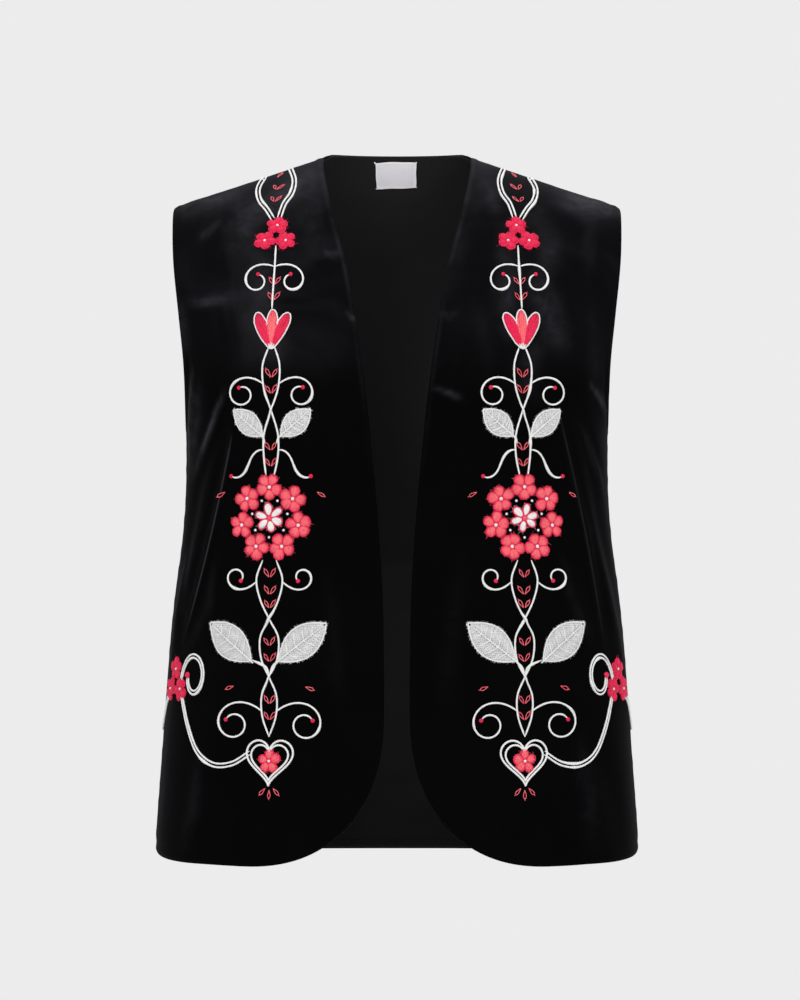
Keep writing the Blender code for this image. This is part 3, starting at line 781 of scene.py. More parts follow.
# The cloth shells
shell = {
    "frontWall": 0.0020,
    "backWall": 0.0015,
    "liningWall": 0.0010,
    "restGap": 0.0003,
    "rowSteps": 8,
    "frontColumns": 120,
    "backHalfColumns": 66,
    "liningHalfColumns": 40,
    "liningInset": 0.0020,
    "rimSteps": 5,
    "rollHeight": 0.0005,
    "rollAt": 0.0045,
    "rollWidth": 0.0028,
    "valleyDepth": 0.0005,
    "valleyAt": 0.0105,
    "valleyWidth": 0.0035,
    "seamDip": 0.0007,
    "seamDipWidth": 0.0035,
    "puckerHeight": 0.0003,
    "puckerAt": 0.006,
    "puckerWidth": 0.005,
    "shoulderPuckers": 0.3,
    "sideShine": {"front_left": 0.03, "front_right": 0.10},
    "sideShineWidth": 0.010,
    "edgeShine": 0.20,
    "edgeShineAt": 0.0025,
    "edgeShineWidth": 0.0018,
    "edgeShineLow": 0.26,
    "edgeShineFade": 0.14,
    "neckFade": 0.01,
    "liningGap": 0.0004,
    "liningTop": 0.00025,
    "belowFrom": 0.215,  # above it the side is the armhole, and below it the side seam
    "belowFade": 0.020,
}


def edgeRoll(away):
    roll = shell["rollHeight"] * bell(away - shell["rollAt"], shell["rollWidth"])
    return roll - shell["valleyDepth"] * bell(away - shell["valleyAt"], shell["valleyWidth"])


def seamPull(away, run, seed, puckers=1.0):  # the cloth dips into a seam, with small uneven puckers beside it
    pucker = np.sin(run * 420 + seed) * 0.5 + np.sin(run * 271 + 2 * seed) * 0.5
    near = bell(away, shell["seamDipWidth"])
    beside = bell(away - shell["puckerAt"], shell["puckerWidth"])
    return -shell["seamDip"] * near + shell["puckerHeight"] * puckers * pucker * beside


def setFloat(mesh, name, values):
    attribute = mesh.attributes.new(name, "FLOAT", "POINT")
    attribute.data.foreach_set("value", np.asarray(values, np.float32).ravel())


def borderLoop(rows, columns):
    index = np.arange(rows * columns).reshape(rows, columns)
    return np.concatenate([index[0, :-1], index[:-1, -1], index[-1, :0:-1], index[:0:-1, 0]])


def makeShell(name, grid, thickness, lightening, material, facing=0):
    rows, columns = grid.shape[:2]
    normals = gridNormals(grid).reshape(-1, 3)
    points = grid.reshape(-1, 3).copy()
    loop = borderLoop(rows, columns)
    tangent = np.roll(points[loop], -1, 0) - np.roll(points[loop], 1, 0)
    out = np.cross(normals[loop], tangent)
    out /= np.linalg.norm(out, axis=1, keepdims=True)
    radius = thickness / 2
    points[loop] -= out * radius
    inner = points - normals * thickness
    centre = points[loop] - normals[loop] * radius
    rings, insides = [], []
    for step in range(1, shell["rimSteps"]):
        turn = math.pi * step / shell["rimSteps"]
        rings.append(centre + radius * (math.cos(turn) * normals[loop] + math.sin(turn) * out))
        insides.append(np.full(len(loop), float(step > shell["rimSteps"] * 0.6)))
    allPoints = np.concatenate([points, inner, *rings])
    if facing:
        allPoints[:, 1] = facing * np.maximum(facing * allPoints[:, 1], cut["seamGap"] / 2)
    count = rows * columns
    index = np.arange(count).reshape(rows, columns)
    a, b, d, e = index[:-1, :-1], index[:-1, 1:], index[1:, :-1], index[1:, 1:]
    outerFaces = np.stack([a, d, e, b], -1).reshape(-1, 4)
    innerFaces = np.stack([a, b, e, d], -1).reshape(-1, 4) + count
    starts = [2 * count + k * len(loop) for k in range(len(rings))]
    lines = [loop, *(start + np.arange(len(loop)) for start in starts), loop + count]
    rims = [np.stack([p, np.roll(p, -1), np.roll(q, -1), q], -1) for p, q in zip(lines, lines[1:])]
    faces = np.concatenate([outerFaces, innerFaces, *rims])
    mesh = bpy.data.meshes.new(name)
    mesh.from_pydata(allPoints.tolist(), [], faces.tolist())
    mesh.shade_smooth()
    # the lightening attribute carries the velvet's painted highlights and sheen, with real pile tone, and the
    # label's lighter folded edges
    rimLightening = np.tile(lightening.ravel()[loop], len(rings))
    setFloat(mesh, "lightening", np.concatenate([lightening.ravel(), lightening.ravel() * 0, rimLightening]))
    setFloat(mesh, "inside", np.concatenate([np.zeros(count), np.ones(count), *insides]))
    mesh.materials.append(material)
    return makeObject(name, mesh), points, inner, outerFaces


def spread(count, ease):  # shares from 0 to 1, closer together at both ends
    t = shares(count + 1)
    return t - ease * np.sin(2 * math.pi * t)


def frontGrid(side, name):
    rows = fineRows(shell["rowSteps"])[:, None]
    across = spread(shell["frontColumns"], 0.05)[None, :]
    if side > 0:
        across = across[:, ::-1]
    grid = frontSurface(across, rows)
    grid[..., 0] *= side
    across = np.broadcast_to(across, grid.shape[:2])
    height = foldHeight(folds[name], across, -grid[..., 2])
    girth, fall = along(grid, 1), along(grid, 0)
    fromRight = girth[:, -1:] - girth
    atFront, atSide = (girth, fromRight) if side > 0 else (fromRight, girth)
    # shine gathers painted highlights along the creases and painted sheen in the strokes, with some real pile
    # laid the other way
    creaseHeight, shine = creaseField(creases[name], grid, side * atFront)
    shine += strokeField(napAndSheenStrokes[name], grid, side * atFront)
    below = unit((-grid[..., 2] - shell["belowFrom"]) / shell["belowFade"])
    height += creaseHeight + edgeRoll(atFront) + edgeRoll(fall[-1:] - fall)
    height += (1 - below) * edgeRoll(atSide) + below * seamPull(atSide, fall, side)
    height += seamPull(fall, girth, side * 2.0, shell["shoulderPuckers"])
    # a painted highlight along the upper front edge, and painted sheen along the side seam
    upper = unit((shell["edgeShineLow"] + grid[..., 2]) / shell["edgeShineFade"])
    uneven = 0.55 + 0.45 * np.sin(fall * 41 + side) * np.sin(fall * 17 + 2)
    lit = bell(atFront - shell["edgeShineAt"], shell["edgeShineWidth"])
    shine += upper * uneven * shell["edgeShine"] * lit
    shine += shell["sideShine"][name] * below * bell(atSide, shell["sideShineWidth"])
    return grid + gridNormals(grid) * height[..., None], shine


def backHalves(half, rows):  # both halves of the back, their folds, and lengths from one side and the middle
    left, right = backSurface(half, rows), backSurface(half[:, -2::-1], rows)
    right[..., 0] *= -1
    grid = np.concatenate([left, right], axis=1)
    across = np.broadcast_to(np.concatenate([half, half[:, -2::-1]], axis=1), grid.shape[:2])
    drop, middle = -grid[..., 2], half.shape[1] - 1
    height = foldHeight(folds["back_left"], across, drop)
    height[:, middle + 1:] = foldHeight(folds["back_right"], across, drop)[:, middle + 1:]
    girth = along(grid, 1)
    return grid, height, girth, girth - girth[:, middle:middle + 1]


def backGrid():
    t = shares(shell["backHalfColumns"] + 1)
    rows = fineRows(shell["rowSteps"])[:, None]
    grid, height, girth, fromMiddle = backHalves((t * (0.4 + 0.6 * t))[None, :], rows)
    away, fall = np.minimum(girth, girth[:, -1:] - girth), along(grid, 0)
    # shine gathers painted highlights along the creases of the back and painted sheen in the strokes, with
    # some real pile laid the other way
    creaseHeight, shine = creaseField(creases["back"], grid, fromMiddle)
    shine += strokeField(napAndSheenStrokes["back"], grid, fromMiddle)
    below = unit((-grid[..., 2] - shell["belowFrom"]) / shell["belowFade"])
    neck = unit((cut["neckX"] - np.abs(grid[..., 0])) / shell["neckFade"])
    height += creaseHeight + edgeRoll(fall[-1:] - fall) + neck * edgeRoll(fall)
    height += (1 - below) * edgeRoll(away) + below * seamPull(away, fall, 3.0)
    height += (1 - neck) * seamPull(fall, girth, 5.0, shell["shoulderPuckers"])
    return grid + gridNormals(grid) * height[..., None], shine


def liningGrid():
    rows = fineRows(shell["rowSteps"] // 2)[:, None]
    rows = np.clip(rows, shell["liningTop"], cut["hem"] - shell["liningInset"])
    t = shares(shell["liningHalfColumns"] + 1)
    grid, height, _, fromMiddle = backHalves((0.008 + 0.992 * t * (0.5 + 0.5 * t))[None, :], rows)
    backCreases, _ = creaseField(creases["back"], grid, fromMiddle)
    ownCreases, _ = creaseField(creases["lining"], grid, fromMiddle)
    height += np.minimum(backCreases, 0.0) - np.abs(ownCreases) - shell["liningGap"]
    height -= shell["backWall"] + shell["restGap"]
    return grid + gridNormals(grid) * height[..., None]


def dress(name, node, slot, grid, wall, lightening, facing=0, **sheet):  # a cloth piece in the place of a solid
    piece, points, inner, faces = makeShell(name, grid, wall, lightening, materials[slot], facing)
    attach(piece, "root")
    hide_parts(node)
    return points, inner, faces


flatCuts = {
    "front": {"flat": (0.285, 0.640), "area": 0.143},
    "back": {"flat": (0.545, 0.640), "area": 0.312},
    "lining": {"flat": (0.540, 0.636), "area": 0.304},
}
surfaces = {}
for side, name in ((1, "front_left"), (-1, "front_right")):
    grid, lightening = frontGrid(side, name)
    points, _, faces = dress("velvet_" + name, name, "velvet", grid, shell["frontWall"], lightening, -1,
                             rests_on=["velvet_back"], **flatCuts["front"])
    surfaces[name] = (points, faces)
grid, lightening = backGrid()
points, _, faces = dress("velvet_back", "back", "velvet", grid, shell["backWall"], lightening, 1,
                         rests_on=["velvet_front_left", "velvet_front_right"], **flatCuts["back"])
surfaces["back"] = (points, faces)
grid = liningGrid()
lightening = np.zeros(grid.shape[:2])
_, inner, faces = dress("lining_back", "back_lining", "lining", grid, shell["liningWall"], lightening, 1,
                        rests_on=["velvet_back"], **flatCuts["lining"])
surfaces["lining"] = (inner, faces[:, ::-1])
print("cloth shells ready")


# Places on the cloth, for laying stitches on it
class Ground:
    def __init__(self, names):
        points = np.concatenate([surfaces[name][0] for name in names])
        starts = np.cumsum([0] + [len(surfaces[name][0]) for name in names])
        faces = np.concatenate([surfaces[name][1] + start for name, start in zip(names, starts)])
        self.tree = BVHTree.FromPolygons(points.tolist(), faces.tolist())

    def struck(self, x, z):  # the cloth met first from the front
        return self.tree.ray_cast(Vector((x, -0.3, z)), Vector((0.0, 1.0, 0.0)))[:2]

    def nearest(self, spot):
        return self.tree.find_nearest(Vector(spot))[:2]

    def under(self, side, line):  # the cloth behind each x and drop, seen from the front
        found = []
        for x, drop in line:
            place, normal = self.struck(side * x, -drop)
            if place is None:
                place, normal = self.nearest((side * x, -0.02, -drop))
            found.append((place, normal))
        return [np.array(column) for column in zip(*found)]

    def sew(self, strands, line, lift, thickness, tone):
        places, normals = self.under(1, line)
        strands.add(places + normals * lift[:, None], thickness, tone, normals)

    def around(self, side, line):  # the cloth at each turn round the body, in degrees from the side seam
        found = []
        for degrees, drop in line:
            depth = readTable(body, "frontDepth" if degrees > 0 else "backDepth", drop)
            turn = math.radians(abs(degrees))
            x = readTable(body, "halfWidth", drop) * math.cos(turn) ** (1 / cut["ringPower"])
            y = -math.copysign(depth * math.sin(turn) ** (1 / cut["ringPower"]), degrees)
            found.append(self.nearest((side * x, y, -drop)))
        return [np.array(column) for column in zip(*found)]


class Patch:  # a flat x and y of its own on the cloth, at a motif's place
    def __init__(self, ground, side, x, drop, turn=0.0):
        self.ground, self.side = ground, side
        self.centre, normal = ground.struck(side * x, -drop)
        over = Vector((0.0, 0.0, 1.0)).cross(normal).normalized()
        up = normal.cross(over).normalized()
        angle = math.radians(turn) * side
        self.right = over * math.cos(angle) - up * math.sin(angle)
        self.up = over * math.sin(angle) + up * math.cos(angle)

    def sew(self, strands, flat, lift, thickness, tone, closed=False):
        places, normals = [], []
        for (x, y), rise in zip(flat, np.broadcast_to(lift, len(flat))):
            place, normal = self.ground.nearest(self.centre + self.right * (x * self.side) + self.up * y)
            places.append(place + normal * rise)
            normals.append(normal)
        strands.add(np.array(places), thickness, tone, np.array(normals), closed)


class Strands:  # threads of one colour, kept as lines until they are made round
    def __init__(self):
        self.points, self.edges, self.thickness, self.tone, self.facing = [], [], [], [], []
        self.count = 0

    def add(self, points, thickness, tone, facing, closed=False):
        size = len(points)
        self.points.append(points)
        self.facing.append(facing)
        self.thickness.append(np.broadcast_to(thickness, size))
        self.tone.append(np.broadcast_to(tone, size))
        index = self.count + np.arange(size)
        self.edges.append(np.stack([index[:-1], index[1:]], -1))
        if closed:
            self.edges.append(np.array([[index[-1], index[0]]]))
        self.count += size

    def source(self, name):
        mesh = bpy.data.meshes.new(name)
        mesh.from_pydata(np.concatenate(self.points).tolist(), np.concatenate(self.edges).tolist(), [])
        setFloat(mesh, "thickness", np.concatenate(self.thickness))
        setFloat(mesh, "tone", np.concatenate(self.tone))
        facing = mesh.attributes.new("facing", "FLOAT_VECTOR", "POINT")
        facing.data.foreach_set("vector", np.concatenate(self.facing).astype(np.float32).ravel())
        return mesh


def newTree(name, inputs):
    tree = bpy.data.node_groups.new(name, "GeometryNodeTree")
    tree.interface.new_socket("Geometry", in_out="INPUT", socket_type="NodeSocketGeometry")
    for label, (kind, value) in inputs.items():
        socket = tree.interface.new_socket(label, in_out="INPUT", socket_type="NodeSocket" + kind)
        if value is not None:
            socket.default_value = value
    tree.interface.new_socket("Geometry", in_out="OUTPUT", socket_type="NodeSocketGeometry")
    board = Board(tree)
    return tree, board, board.add("NodeGroupInput")


def finishTree(board, geometry, start):
    smooth = board.add("GeometryNodeSetShadeSmooth", {}, {"Geometry": geometry})
    real = board.add("GeometryNodeRealizeInstances", {}, {"Geometry": smooth})
    dyed = board.add("GeometryNodeSetMaterial", {}, {"Geometry": real, "Material": start.other("Material")})
    end = board.tree.nodes.new("NodeGroupOutput")
    board.tree.links.new(dyed.socket, end.inputs[0])


# Threads: each line becomes a round thread, or a cord of twisted plies
def threadTree(name, twisted):
    inputs = {"Material": ("Material", None), "Sides": ("Int", 5), "Step": ("Float", 0.0005)}
    inputs.update({"Plies": ("Float", 3.0), "Lobe": ("Float", 0.36), "Pitch": ("Float", 0.0030)})
    tree, board, start = newTree(name, inputs)
    curve = board.add("GeometryNodeMeshToCurve", {}, {"Mesh": start})
    sockets = {"Resolution": start.other("Sides"), "Radius": 1.0}
    ring = board.add("GeometryNodeCurvePrimitiveCircle", {}, sockets)
    if twisted:
        sockets = {"Curve": curve, "Length": start.other("Step")}
        curve = board.add("GeometryNodeResampleCurve", {"mode": "LENGTH"}, sockets)
        length = board.add("GeometryNodeSplineParameter", {}, {}, "Length")
        tilt = length * (2 * math.pi) / start.other("Pitch")
        curve = board.add("GeometryNodeSetCurveTilt", {}, {"Curve": curve, "Tilt": tilt})
        place = board.add("GeometryNodeInputPosition")
        parts = board.add("ShaderNodeSeparateXYZ", {}, {0: place})
        angle = parts.maths("ARCTAN2", parts.other("Y"), parts.other("X")) * start.other("Plies")
        reach = 1.0 - start.other("Lobe") * (0.5 - 0.5 * angle.maths("COSINE", angle))
        shaped = board.add("ShaderNodeVectorMath", {"operation": "SCALE"}, {"Vector": place, "Scale": reach})
        ring = board.add("GeometryNodeSetPosition", {}, {"Geometry": ring, "Position": shaped})
    scale = board.add("GeometryNodeInputNamedAttribute", {"data_type": "FLOAT"}, {"Name": "thickness"})
    sockets = {"Curve": curve, "Profile Curve": ring, "Scale": scale, "Fill Caps": True}
    finishTree(board, board.add("GeometryNodeCurveToMesh", {}, sockets), start)
    return tree


trees = {"thread": threadTree("round threads", False), "cord": threadTree("twisted cords", True)}


def growMesh(name, source, tree, inputs):  # runs a tree on a source mesh and keeps the result as a plain mesh
    obj = makeObject(name, source)
    modifier = obj.modifiers.new("sewing", "NODES")
    modifier.node_group = tree
    for item in tree.interface.items_tree:
        if item.in_out == "INPUT" and item.name in inputs:
            modifier[item.identifier] = inputs[item.name]
    graph = bpy.context.evaluated_depsgraph_get()
    made = bpy.data.meshes.new_from_object(
        obj.evaluated_get(graph), preserve_all_data_layers=True, depsgraph=graph)
    obj.modifiers.clear()
    obj.data = made
    made.name = name
    return obj


triangleCount = {"all": 0}


def sewPiece(name, strands, kind, colour, replaced=(), **inputs):
    piece = growMesh(name, strands.source(name), trees[kind], {"Material": materials[colour], **inputs})
    piece.data.calc_loop_triangles()
    triangleCount["all"] += len(piece.data.loop_triangles)
    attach(piece, "root")
    if replaced:
        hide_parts(*replaced)
    return piece


# Stitches
stitch = {
    "satinThread": 0.00044,
    "outlineThread": 0.00080,
    "crown": 0.00210,
    "floor": 0.00025,
    "petalSteps": 7,
    "outlineSteps": 20,
    "knotRadius": 0.00105,
    "knotThread": 0.00062,
    "satinJitter": 0.00010,
    "outlineJitter": 0.00012,
    "hairs": 15,
    "hairThread": 0.00012,
}
fineCord = {"Sides": 6, "Plies": 2.0, "Step": 0.0007}


def petalPoint(across, forward, length, width):  # across and forward run from -1 to 1 on an egg shape
    narrow = 0.60 + 0.40 * (forward + 1) / 2
    return np.stack([across * width / 2 * narrow, length / 2 * (1 + forward)], -1)


def turned(flat, middle, angle):
    cosine, sine = math.cos(angle), math.sin(angle)
    x, y = flat[:, 0], flat[:, 1]
    return np.stack([middle[0] + x * cosine + y * sine, middle[1] + y * cosine - x * sine], -1)


def satinPetal(fill, line, patch, root, angle, length, width, rng, hairs=0):
    thread, outline = stitch["satinThread"], stitch["outlineThread"]
    count = max(5, round(width / 2 / thread))
    forward = np.linspace(-1.0, 1.0, stitch["petalSteps"])
    for i in range(count):
        across = -1 + (2 * i + 1) / count
        reach = math.sqrt(1 - across**2)
        flat = petalPoint(across, forward * reach, length, width)
        flat += rng.normal(0.0, stitch["satinJitter"], flat.shape)
        room = unit(1 - across**2 - (forward * reach) ** 2)
        lift = stitch["floor"] + stitch["crown"] * np.sqrt(room) * rng.uniform(0.84, 1.08)
        tone = unit(room**0.45 * rng.uniform(0.70, 1.15))
        patch.sew(fill, turned(flat, root, angle), lift, thread, tone)
    turn = np.linspace(0.0, 2 * math.pi, stitch["outlineSteps"], endpoint=False)
    flat = petalPoint(np.sin(turn), np.cos(turn), length, width)
    flat += rng.normal(0.0, stitch["outlineJitter"], flat.shape)
    patch.sew(line, turned(flat, root, angle), outline * 1.55, outline, rng.uniform(0.0, 1.0), True)
    for turn in rng.uniform(0.0, 2 * math.pi, hairs):  # cut fibre ends that stand out round the petal
        start = petalPoint(math.sin(turn), math.cos(turn), length, width)
        away = np.array([math.sin(turn) / width, math.cos(turn) / length])
        away = away / np.linalg.norm(away) + rng.normal(0.0, 0.45, 2)
        reach = np.array([0.0003, 0.0008, 0.0008 + rng.uniform(0.0003, 0.0012)])
        lift = np.array([0.0008, 0.0010, 0.0008]) * rng.uniform(0.7, 1.4)
        thickness = np.array([1.0, 0.8, 0.4]) * stitch["hairThread"]
        flat = turned(start + away * reach[:, None], root, angle)
        patch.sew(fill, flat, lift, thickness, rng.uniform(0.3, 1.0))


def frenchKnot(knots, patch, middle, size, rng):
    turns = shares(19)
    angle = turns * 2 * math.pi * 2.4 + rng.uniform(0.0, 6.0)
    reach = stitch["knotRadius"] * size * (1.0 - 0.85 * turns**2)
    flat = np.stack([middle[0] + reach * np.cos(angle), middle[1] + reach * np.sin(angle)], -1)
    patch.sew(knots, flat, 0.0008 + turns * 0.0013 * size, stitch["knotThread"] * size, rng.uniform(0.4, 1.0))


def blossom(fill, line, knots, patch, middle, radius, turn, rng, petals=5, slim=1.0):
    heart = radius * 0.14
    for i in range(petals):
        angle = turn + 2 * math.pi * i / petals + rng.normal(0.0, 0.07)
        root = (middle[0] + heart * math.sin(angle), middle[1] + heart * math.cos(angle))
        length = (radius - heart) * rng.uniform(0.88, 1.04)
        width = 2 * radius * math.sin(math.pi / petals) * 0.76 * slim * rng.uniform(0.88, 1.10)
        satinPetal(fill, line, patch, root, angle, length, width, rng, stitch["hairs"])
    frenchKnot(knots, patch, middle, min(radius / 0.0118, 1.15) * 1.15, rng)


# The bouquets, at the places of the solids that they stand for
bouquet = {"x": 0.112, "drop": 0.300, "ring": 0.0275, "blossoms": 7, "radius": 0.0121, "heartRadius": 0.0135,
           "knotRing": 0.0170}


def makeBouquet(ground, side, word):
    rng = np.random.default_rng(40 + side)
    patch = Patch(ground, side, bouquet["x"], bouquet["drop"])
    coral, crimson, white, knots, centre = (Strands() for _ in range(5))
    for i in range(bouquet["blossoms"]):
        angle = 2 * math.pi * i / bouquet["blossoms"]
        reach = bouquet["ring"] * rng.uniform(0.985, 1.01)
        middle = (reach * math.sin(angle), reach * math.cos(angle))
        blossom(coral, crimson, knots, patch, middle, bouquet["radius"], angle + math.pi, rng)
    blossom(white, crimson, centre, patch, (0.0, 0.0), bouquet["heartRadius"], 0.2, rng, 6, 0.80)
    for i in range(bouquet["blossoms"]):
        angle, reach = 2 * math.pi * (i + 0.5) / bouquet["blossoms"], bouquet["knotRing"]
        frenchKnot(knots, patch, (reach * math.sin(angle), reach * math.cos(angle)), 0.75, rng)
    name = "bouquet_large_" + word
    sewPiece(name + "_coral", coral, "thread", "coral", [name])
    sewPiece(name + "_outline", crimson, "cord", "crimson", **fineCord)
    sewPiece(name + "_white", white, "thread", "white")
    sewPiece(name + "_knots", knots, "thread", "white", Sides=6)
    sewPiece(name + "_heart", centre, "thread", "coral", Sides=6)


# Three blossoms at the shoulder and at the hip
trefoils = {
    "bouquet_shoulder": {"x": 0.107, "drop": 0.050, "size": 0.041},
    "bouquet_hip": {"x": 0.196, "drop": 0.446, "size": 0.044},
}


def makeTrefoil(ground, side, word, name):
    place = trefoils[name]
    rng = np.random.default_rng(60 + side + len(name))
    patch = Patch(ground, side, place["x"], place["drop"])
    crimson, line, knots = Strands(), Strands(), Strands()
    ring = place["size"] / 2 * 0.535
    for i in range(3):
        angle = 2 * math.pi * i / 3
        middle = (ring * math.sin(angle), ring * math.cos(angle))
        blossom(crimson, line, knots, patch, middle, place["size"] / 2 - ring, angle, rng)
    name = name + "_" + word
    sewPiece(name + "_crimson", crimson, "thread", "crimson", [name])
    sewPiece(name + "_outline", line, "cord", "crimson", **fineCord)
    sewPiece(name + "_knots", knots, "thread", "white", Sides=6)


# The tulip on the chest: two crimson petals, a coral one between them and a white outline
tulip = {
    "x": 0.110,
    "drop": 0.136,
    "length": 0.036,
    "base": -0.0150,
    "lean": 0.43,
    "widths": (0.0125, 0.0135),
}


def makeTulip(ground, side, word):
    rng = np.random.default_rng(80 + side)
    patch = Patch(ground, side, tulip["x"], tulip["drop"])
    crimson, coral, line = Strands(), Strands(), Strands()
    root, (inner, outer) = (0.0, tulip["base"]), tulip["widths"]
    satinPetal(coral, line, patch, root, 0.0, tulip["length"] * 0.97, inner, rng)
    for lean in (-tulip["lean"], tulip["lean"]):
        satinPetal(crimson, line, patch, root, lean, tulip["length"] * 0.98, outer, rng)
    name = "tulip_chest_" + word
    sewPiece(name + "_crimson", crimson, "thread", "crimson", [name])
    sewPiece(name + "_coral", coral, "thread", "coral")
    sewPiece(name + "_outline", line, "cord", "white", **fineCord)


# Silver leaves: slanting fill, a fine net over it, a raised rim, veins and a fuzz of cut ends
leaf = {
    "fillSpacing": 0.00105,
    "fillThread": 0.00050,
    "netSpacing": 0.0026,
    "netThread": 0.00019,
    "netLift": 0.00165,
    "rimThread": 0.00085,
    "rimLift": 0.0009,
    "spineLift": 0.0019,
    "veins": 4,
    "fuzz": 2963,  # fibre ends for each metre of the leaf's length
    "fuzzThread": 0.00013,
}
leafPlaces = {
    "leaf_large_inner": {"x": 0.083, "drop": 0.409, "turn": -52, "length": 0.054, "width": 0.028},
    "leaf_large_outer": {"x": 0.147, "drop": 0.409, "turn": 52, "length": 0.054, "width": 0.028},
    "leaf_small_inner": {"x": 0.089, "drop": 0.216, "turn": -50, "length": 0.036, "width": 0.020},
    "leaf_small_outer": {"x": 0.131, "drop": 0.216, "turn": 50, "length": 0.036, "width": 0.020},
}


def leafHalf(y, length, width):  # half of the leaf's width at this height
    share = np.clip(2 * y / length, -1.0, 1.0)
    return width / 2 * (1 - share**2)


def makeLeaf(ground, side, word, name):
    place = leafPlaces[name]
    length, width = place["length"], place["width"]
    rng = np.random.default_rng(100 + side + len(name))
    patch = Patch(ground, side, place["x"], place["drop"], place["turn"])
    fill, raised, net = Strands(), Strands(), Strands()
    count = round(length / leaf["fillSpacing"])
    t = shares(5)
    for hand in (-1, 1):
        for i in range(count):
            y = length * (-0.48 + 0.92 * i / (count - 1))
            outY = y + 0.32 * float(leafHalf(y, length, width))
            outX = float(leafHalf(outY, length, width)) * hand
            flat = np.stack([outX * t, y + (outY - y) * t], -1)
            flat += rng.normal(0.0, stitch["satinJitter"], flat.shape)
            lift = 0.0004 + 0.0009 * np.sin(math.pi * t) * rng.uniform(0.85, 1.1)
            patch.sew(fill, flat, lift, leaf["fillThread"], rng.uniform(0.0, 0.8))
    turn = np.linspace(0.0, 2 * math.pi, 48, endpoint=False)
    y = length / 2 * np.cos(turn)
    flat = np.stack([np.sign(np.sin(turn)) * leafHalf(y, length, width), y], -1)
    patch.sew(raised, flat, leaf["rimLift"], leaf["rimThread"], 0.8, True)
    spine = np.stack([np.zeros(14), length * np.linspace(-0.56, 0.44, 14)], -1)
    patch.sew(raised, spine, leaf["spineLift"], np.linspace(1.0, 0.6, 14) * leaf["rimThread"], 0.9)
    t = np.linspace(0.0, 0.86, 7)
    for i in range(leaf["veins"]):
        y = length * (-0.30 + 0.17 * i)
        outY = y + length * 0.13
        for hand in (-1, 1):
            outX = float(leafHalf(outY, length, width)) * hand
            flat = np.stack([outX * t, y + (outY - y) * t**1.3], -1)
            patch.sew(raised, flat, leaf["spineLift"] - 0.0004 * t, leaf["rimThread"] * (0.75 - 0.3 * t), 0.8)
    reach = length / 2 + width / 2
    t = np.linspace(-length / 2, length / 2, 60)
    for lean in (-1, 1):
        for offset in np.arange(-reach, reach, leaf["netSpacing"]):
            flat = np.stack([(t - offset) * lean * 0.8, t], -1)
            flat = flat[np.abs(flat[:, 0]) < leafHalf(flat[:, 1], length, width) - 0.0004][::3]
            if len(flat) > 2:
                patch.sew(net, flat, leaf["netLift"], leaf["netThread"], rng.uniform(0.3, 1.0))
    for _ in range(round(leaf["fuzz"] * length)):
        angle = rng.uniform(0.0, 2 * math.pi)
        y = length / 2 * math.cos(angle)
        x = math.copysign(float(leafHalf(y, length, width)), math.sin(angle))
        away = np.array([math.copysign(1.0, x), 0.6 * math.cos(angle)]) + rng.normal(0.0, 0.35, 2)
        away *= rng.uniform(0.0012, 0.0024) / np.linalg.norm(away)
        flat = np.array([[x, y], [x + away[0] * 0.6, y + away[1] * 0.6], [x + away[0], y + away[1]]])
        lift = np.array([0.0006, 0.0011, 0.0009]) * rng.uniform(0.7, 1.3)
        patch.sew(net, flat, lift, np.array([1.0, 0.7, 0.3]) * leaf["fuzzThread"], rng.uniform(0.3, 1.0))
    name = name + "_" + word
    sewPiece(name + "_fill", fill, "thread", "silver", [name])
    sewPiece(name + "_rim", raised, "cord", "white", **fineCord)
    sewPiece(name + "_net", net, "thread", "white", Sides=4)


ground = Ground(["front_left", "front_right", "back"])
sideWords = {1: "left", -1: "right"}
for side, word in sideWords.items():
    makeBouquet(ground, side, word)
    makeTulip(ground, side, word)
    for name in trefoils:
        makeTrefoil(ground, side, word, name)
    for name in leafPlaces:
        makeLeaf(ground, side, word, name)
print("motifs ready:", triangleCount["all"], "triangles")


# White cords laid along the stems, scrolls, heart and swags
cords = {
    "thickness": 0.00100,
    "swell": 0.75,
    "pairSpacing": 0.0032,
    "sides": 8,
    "taper": 0.0030,
    "bridgeLift": 1.8,
    "bridgeReach": 0.0038,
}
# Stems, in millimetres, each with the drops at which it passes over another one
stemPaths = [
    (((107.5, 149), (103, 165), (104.2, 185), (110.5, 205),
      (116.8, 226), (117, 245), (115, 263)), (205,)),
    (((112.5, 149), (118, 166), (116.8, 186), (110.5, 205), (104.5, 226), (104.5, 245), (108, 263)), ()),
    (((106, 337), (100.5, 354), (104, 372), (112, 389), (120, 405),
      (119, 424), (112, 440), (105.5, 456), (106, 474), (112, 492)), (389,)),
    (((118, 337), (123.5, 354), (120, 372), (112, 389), (104, 405),
      (105, 424), (112, 440), (118.5, 456), (118, 474), (112, 492)), (440,)),
    (((107, 59), (107.8, 78), (109, 98), (110, 116.5)), ()),
    (((105.5, 234), (104.5, 230), (101, 226.2)), ()),
    (((116, 234), (117, 230), (119.5, 226.2)), ()),
    (((112, 440), (109, 431), (103, 425)), ()),
    (((112, 440), (115, 431), (127, 425)), ()),
]
